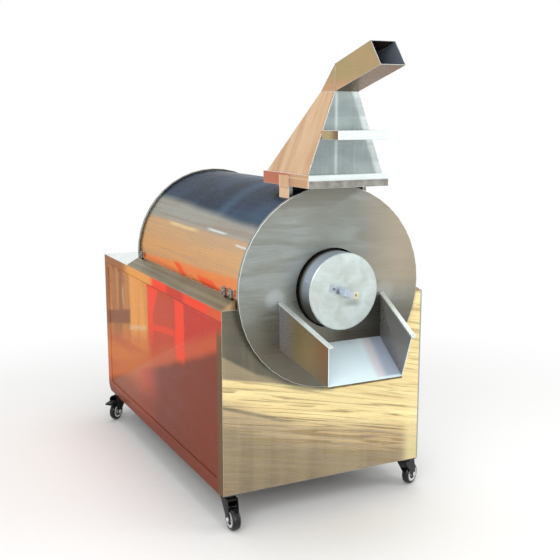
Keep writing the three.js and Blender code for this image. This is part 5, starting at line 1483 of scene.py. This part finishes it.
class RoasterStage(Dresser):
    """Adds the floor, the lamps, the pale surroundings and the camera"""

    bl_idname = "roaster.stage"
    bl_label = "Studio"

    def dress(self, size):
        studio = bpy.context.scene.roaster_studio
        self.camera(studio)
        self.floor(studio)
        self.surroundings(studio)
        for name, (place, width) in LAMPS.items():
            self.lamp(name + "_lamp", Vector(place), width, getattr(studio, name + "_power"))
        bpy.context.scene.view_settings.view_transform = "Standard"

    def camera(self, studio):
        data = bpy.data.cameras.new("photo_camera")
        data.lens = studio.camera_lens
        camera = placed("photo_camera", data)
        camera.location = studio.camera_place
        camera.rotation_euler = (math.pi / 2 - studio.camera_drop, 0, -studio.camera_turn)
        bpy.context.scene.camera = camera

    def lamp(self, name, place, width, power):
        data = bpy.data.lights.new(name, "AREA")
        data.shape = "SQUARE"
        data.size = width
        data.energy = power
        lamp = placed(name, data)
        lamp.location = place
        lamp.rotation_euler = (LAMP_AIM - place).to_track_quat("-Z", "Y").to_euler()

    def floor(self, studio):
        """A wide floor that keeps the shadow near the machine and goes white further out."""
        mesh = bmesh.new()
        bmesh.ops.create_grid(mesh, x_segments=FLOOR_CELLS, y_segments=FLOOR_CELLS, size=FLOOR_HALF)
        floor = placed("studio_floor", meshed("studio_floor", mesh))
        paper = Recipe("studio_floor")
        pale = tuple(studio.floor_tone)
        dim = tuple(0.97 * value for value in pale)
        fibre = paper.mix(dim, pale, paper.noise(40))
        paper.set(Base_Color=fibre, Roughness=0.9, Specular_IOR_Level=0.1)
        white = paper.add("ShaderNodeEmission", (1, 1, 1))
        shown = Result(paper, paper.shader.outputs[0])
        away = paper.x.reach(paper.y).fade(*FLOOR_FADE)
        blend = paper.add("ShaderNodeMixShader", away, shown, white)
        paper.feed(paper.tree.nodes["Material Output"].inputs["Surface"], blend)
        floor.data.materials.append(paper.material)

    def surroundings(self, studio):
        """A white room for the camera and for what is mirrored, and a softer one for light."""
        world = bpy.data.worlds.new("studio_room")
        world.use_nodes = True
        tree = world.node_tree
        background = tree.nodes["Background"]
        background.inputs["Color"].default_value = (1, 1, 1, 1)
        rays = tree.nodes.new("ShaderNodeLightPath").outputs
        white = rays["Is Camera Ray"]
        for kind in ("Is Glossy Ray", "Is Transmission Ray"):
            either = tree.nodes.new("ShaderNodeMath")
            either.operation = "MAXIMUM"
            tree.links.new(white, either.inputs[0])
            tree.links.new(rays[kind], either.inputs[1])
            white = either.outputs[0]
        light = tree.nodes.new("ShaderNodeMapRange")
        light.inputs["To Min"].default_value = studio.sky_strength
        light.inputs["To Max"].default_value = 1
        tree.links.new(white, light.inputs["Value"])
        tree.links.new(light.outputs[0], background.inputs["Strength"])
        bpy.context.scene.world = world


OPERATORS = (
    RoasterCabinet,
    RoasterCasing,
    RoasterDrum,
    RoasterChute,
    RoasterHood,
    RoasterDrive,
    RoasterControls,
    RoasterCasters,
    RoasterStage,
)


class RoasterPanel(Panel):
    """Lists the steps, colours and sizes in the sidebar."""

    bl_idname = "ROASTER_PT_steps"
    bl_label = "Nut roasting machine"
    bl_space_type = "VIEW_3D"
    bl_region_type = "UI"
    bl_category = "Roaster"

    def draw(self, context):
        for step in OPERATORS:
            self.layout.operator(step.bl_idname, text=step.bl_label)
        for group in (sizes(), context.scene.roaster_studio, colours()):
            box = self.layout.box()
            for name in group.__annotations__:
                box.prop(group, name)


GROUPS = {
    "roaster_sizes": RoasterSizes,
    "roaster_colours": RoasterColours,
    "roaster_studio": RoasterStudio,
}


def register():
    for kind in (*GROUPS.values(), *OPERATORS, RoasterPanel):
        bpy.utils.register_class(kind)
    for name, group in GROUPS.items():
        setattr(bpy.types.Scene, name, PointerProperty(type=group))


def unregister():
    for name in GROUPS:
        delattr(bpy.types.Scene, name)
    for kind in reversed((*GROUPS.values(), *OPERATORS, RoasterPanel)):
        bpy.utils.unregister_class(kind)


def main():
    register()
    for step in OPERATORS:
        getattr(bpy.ops.roaster, step.bl_idname.split(".")[1])()


if __name__ == "__main__":
    main()
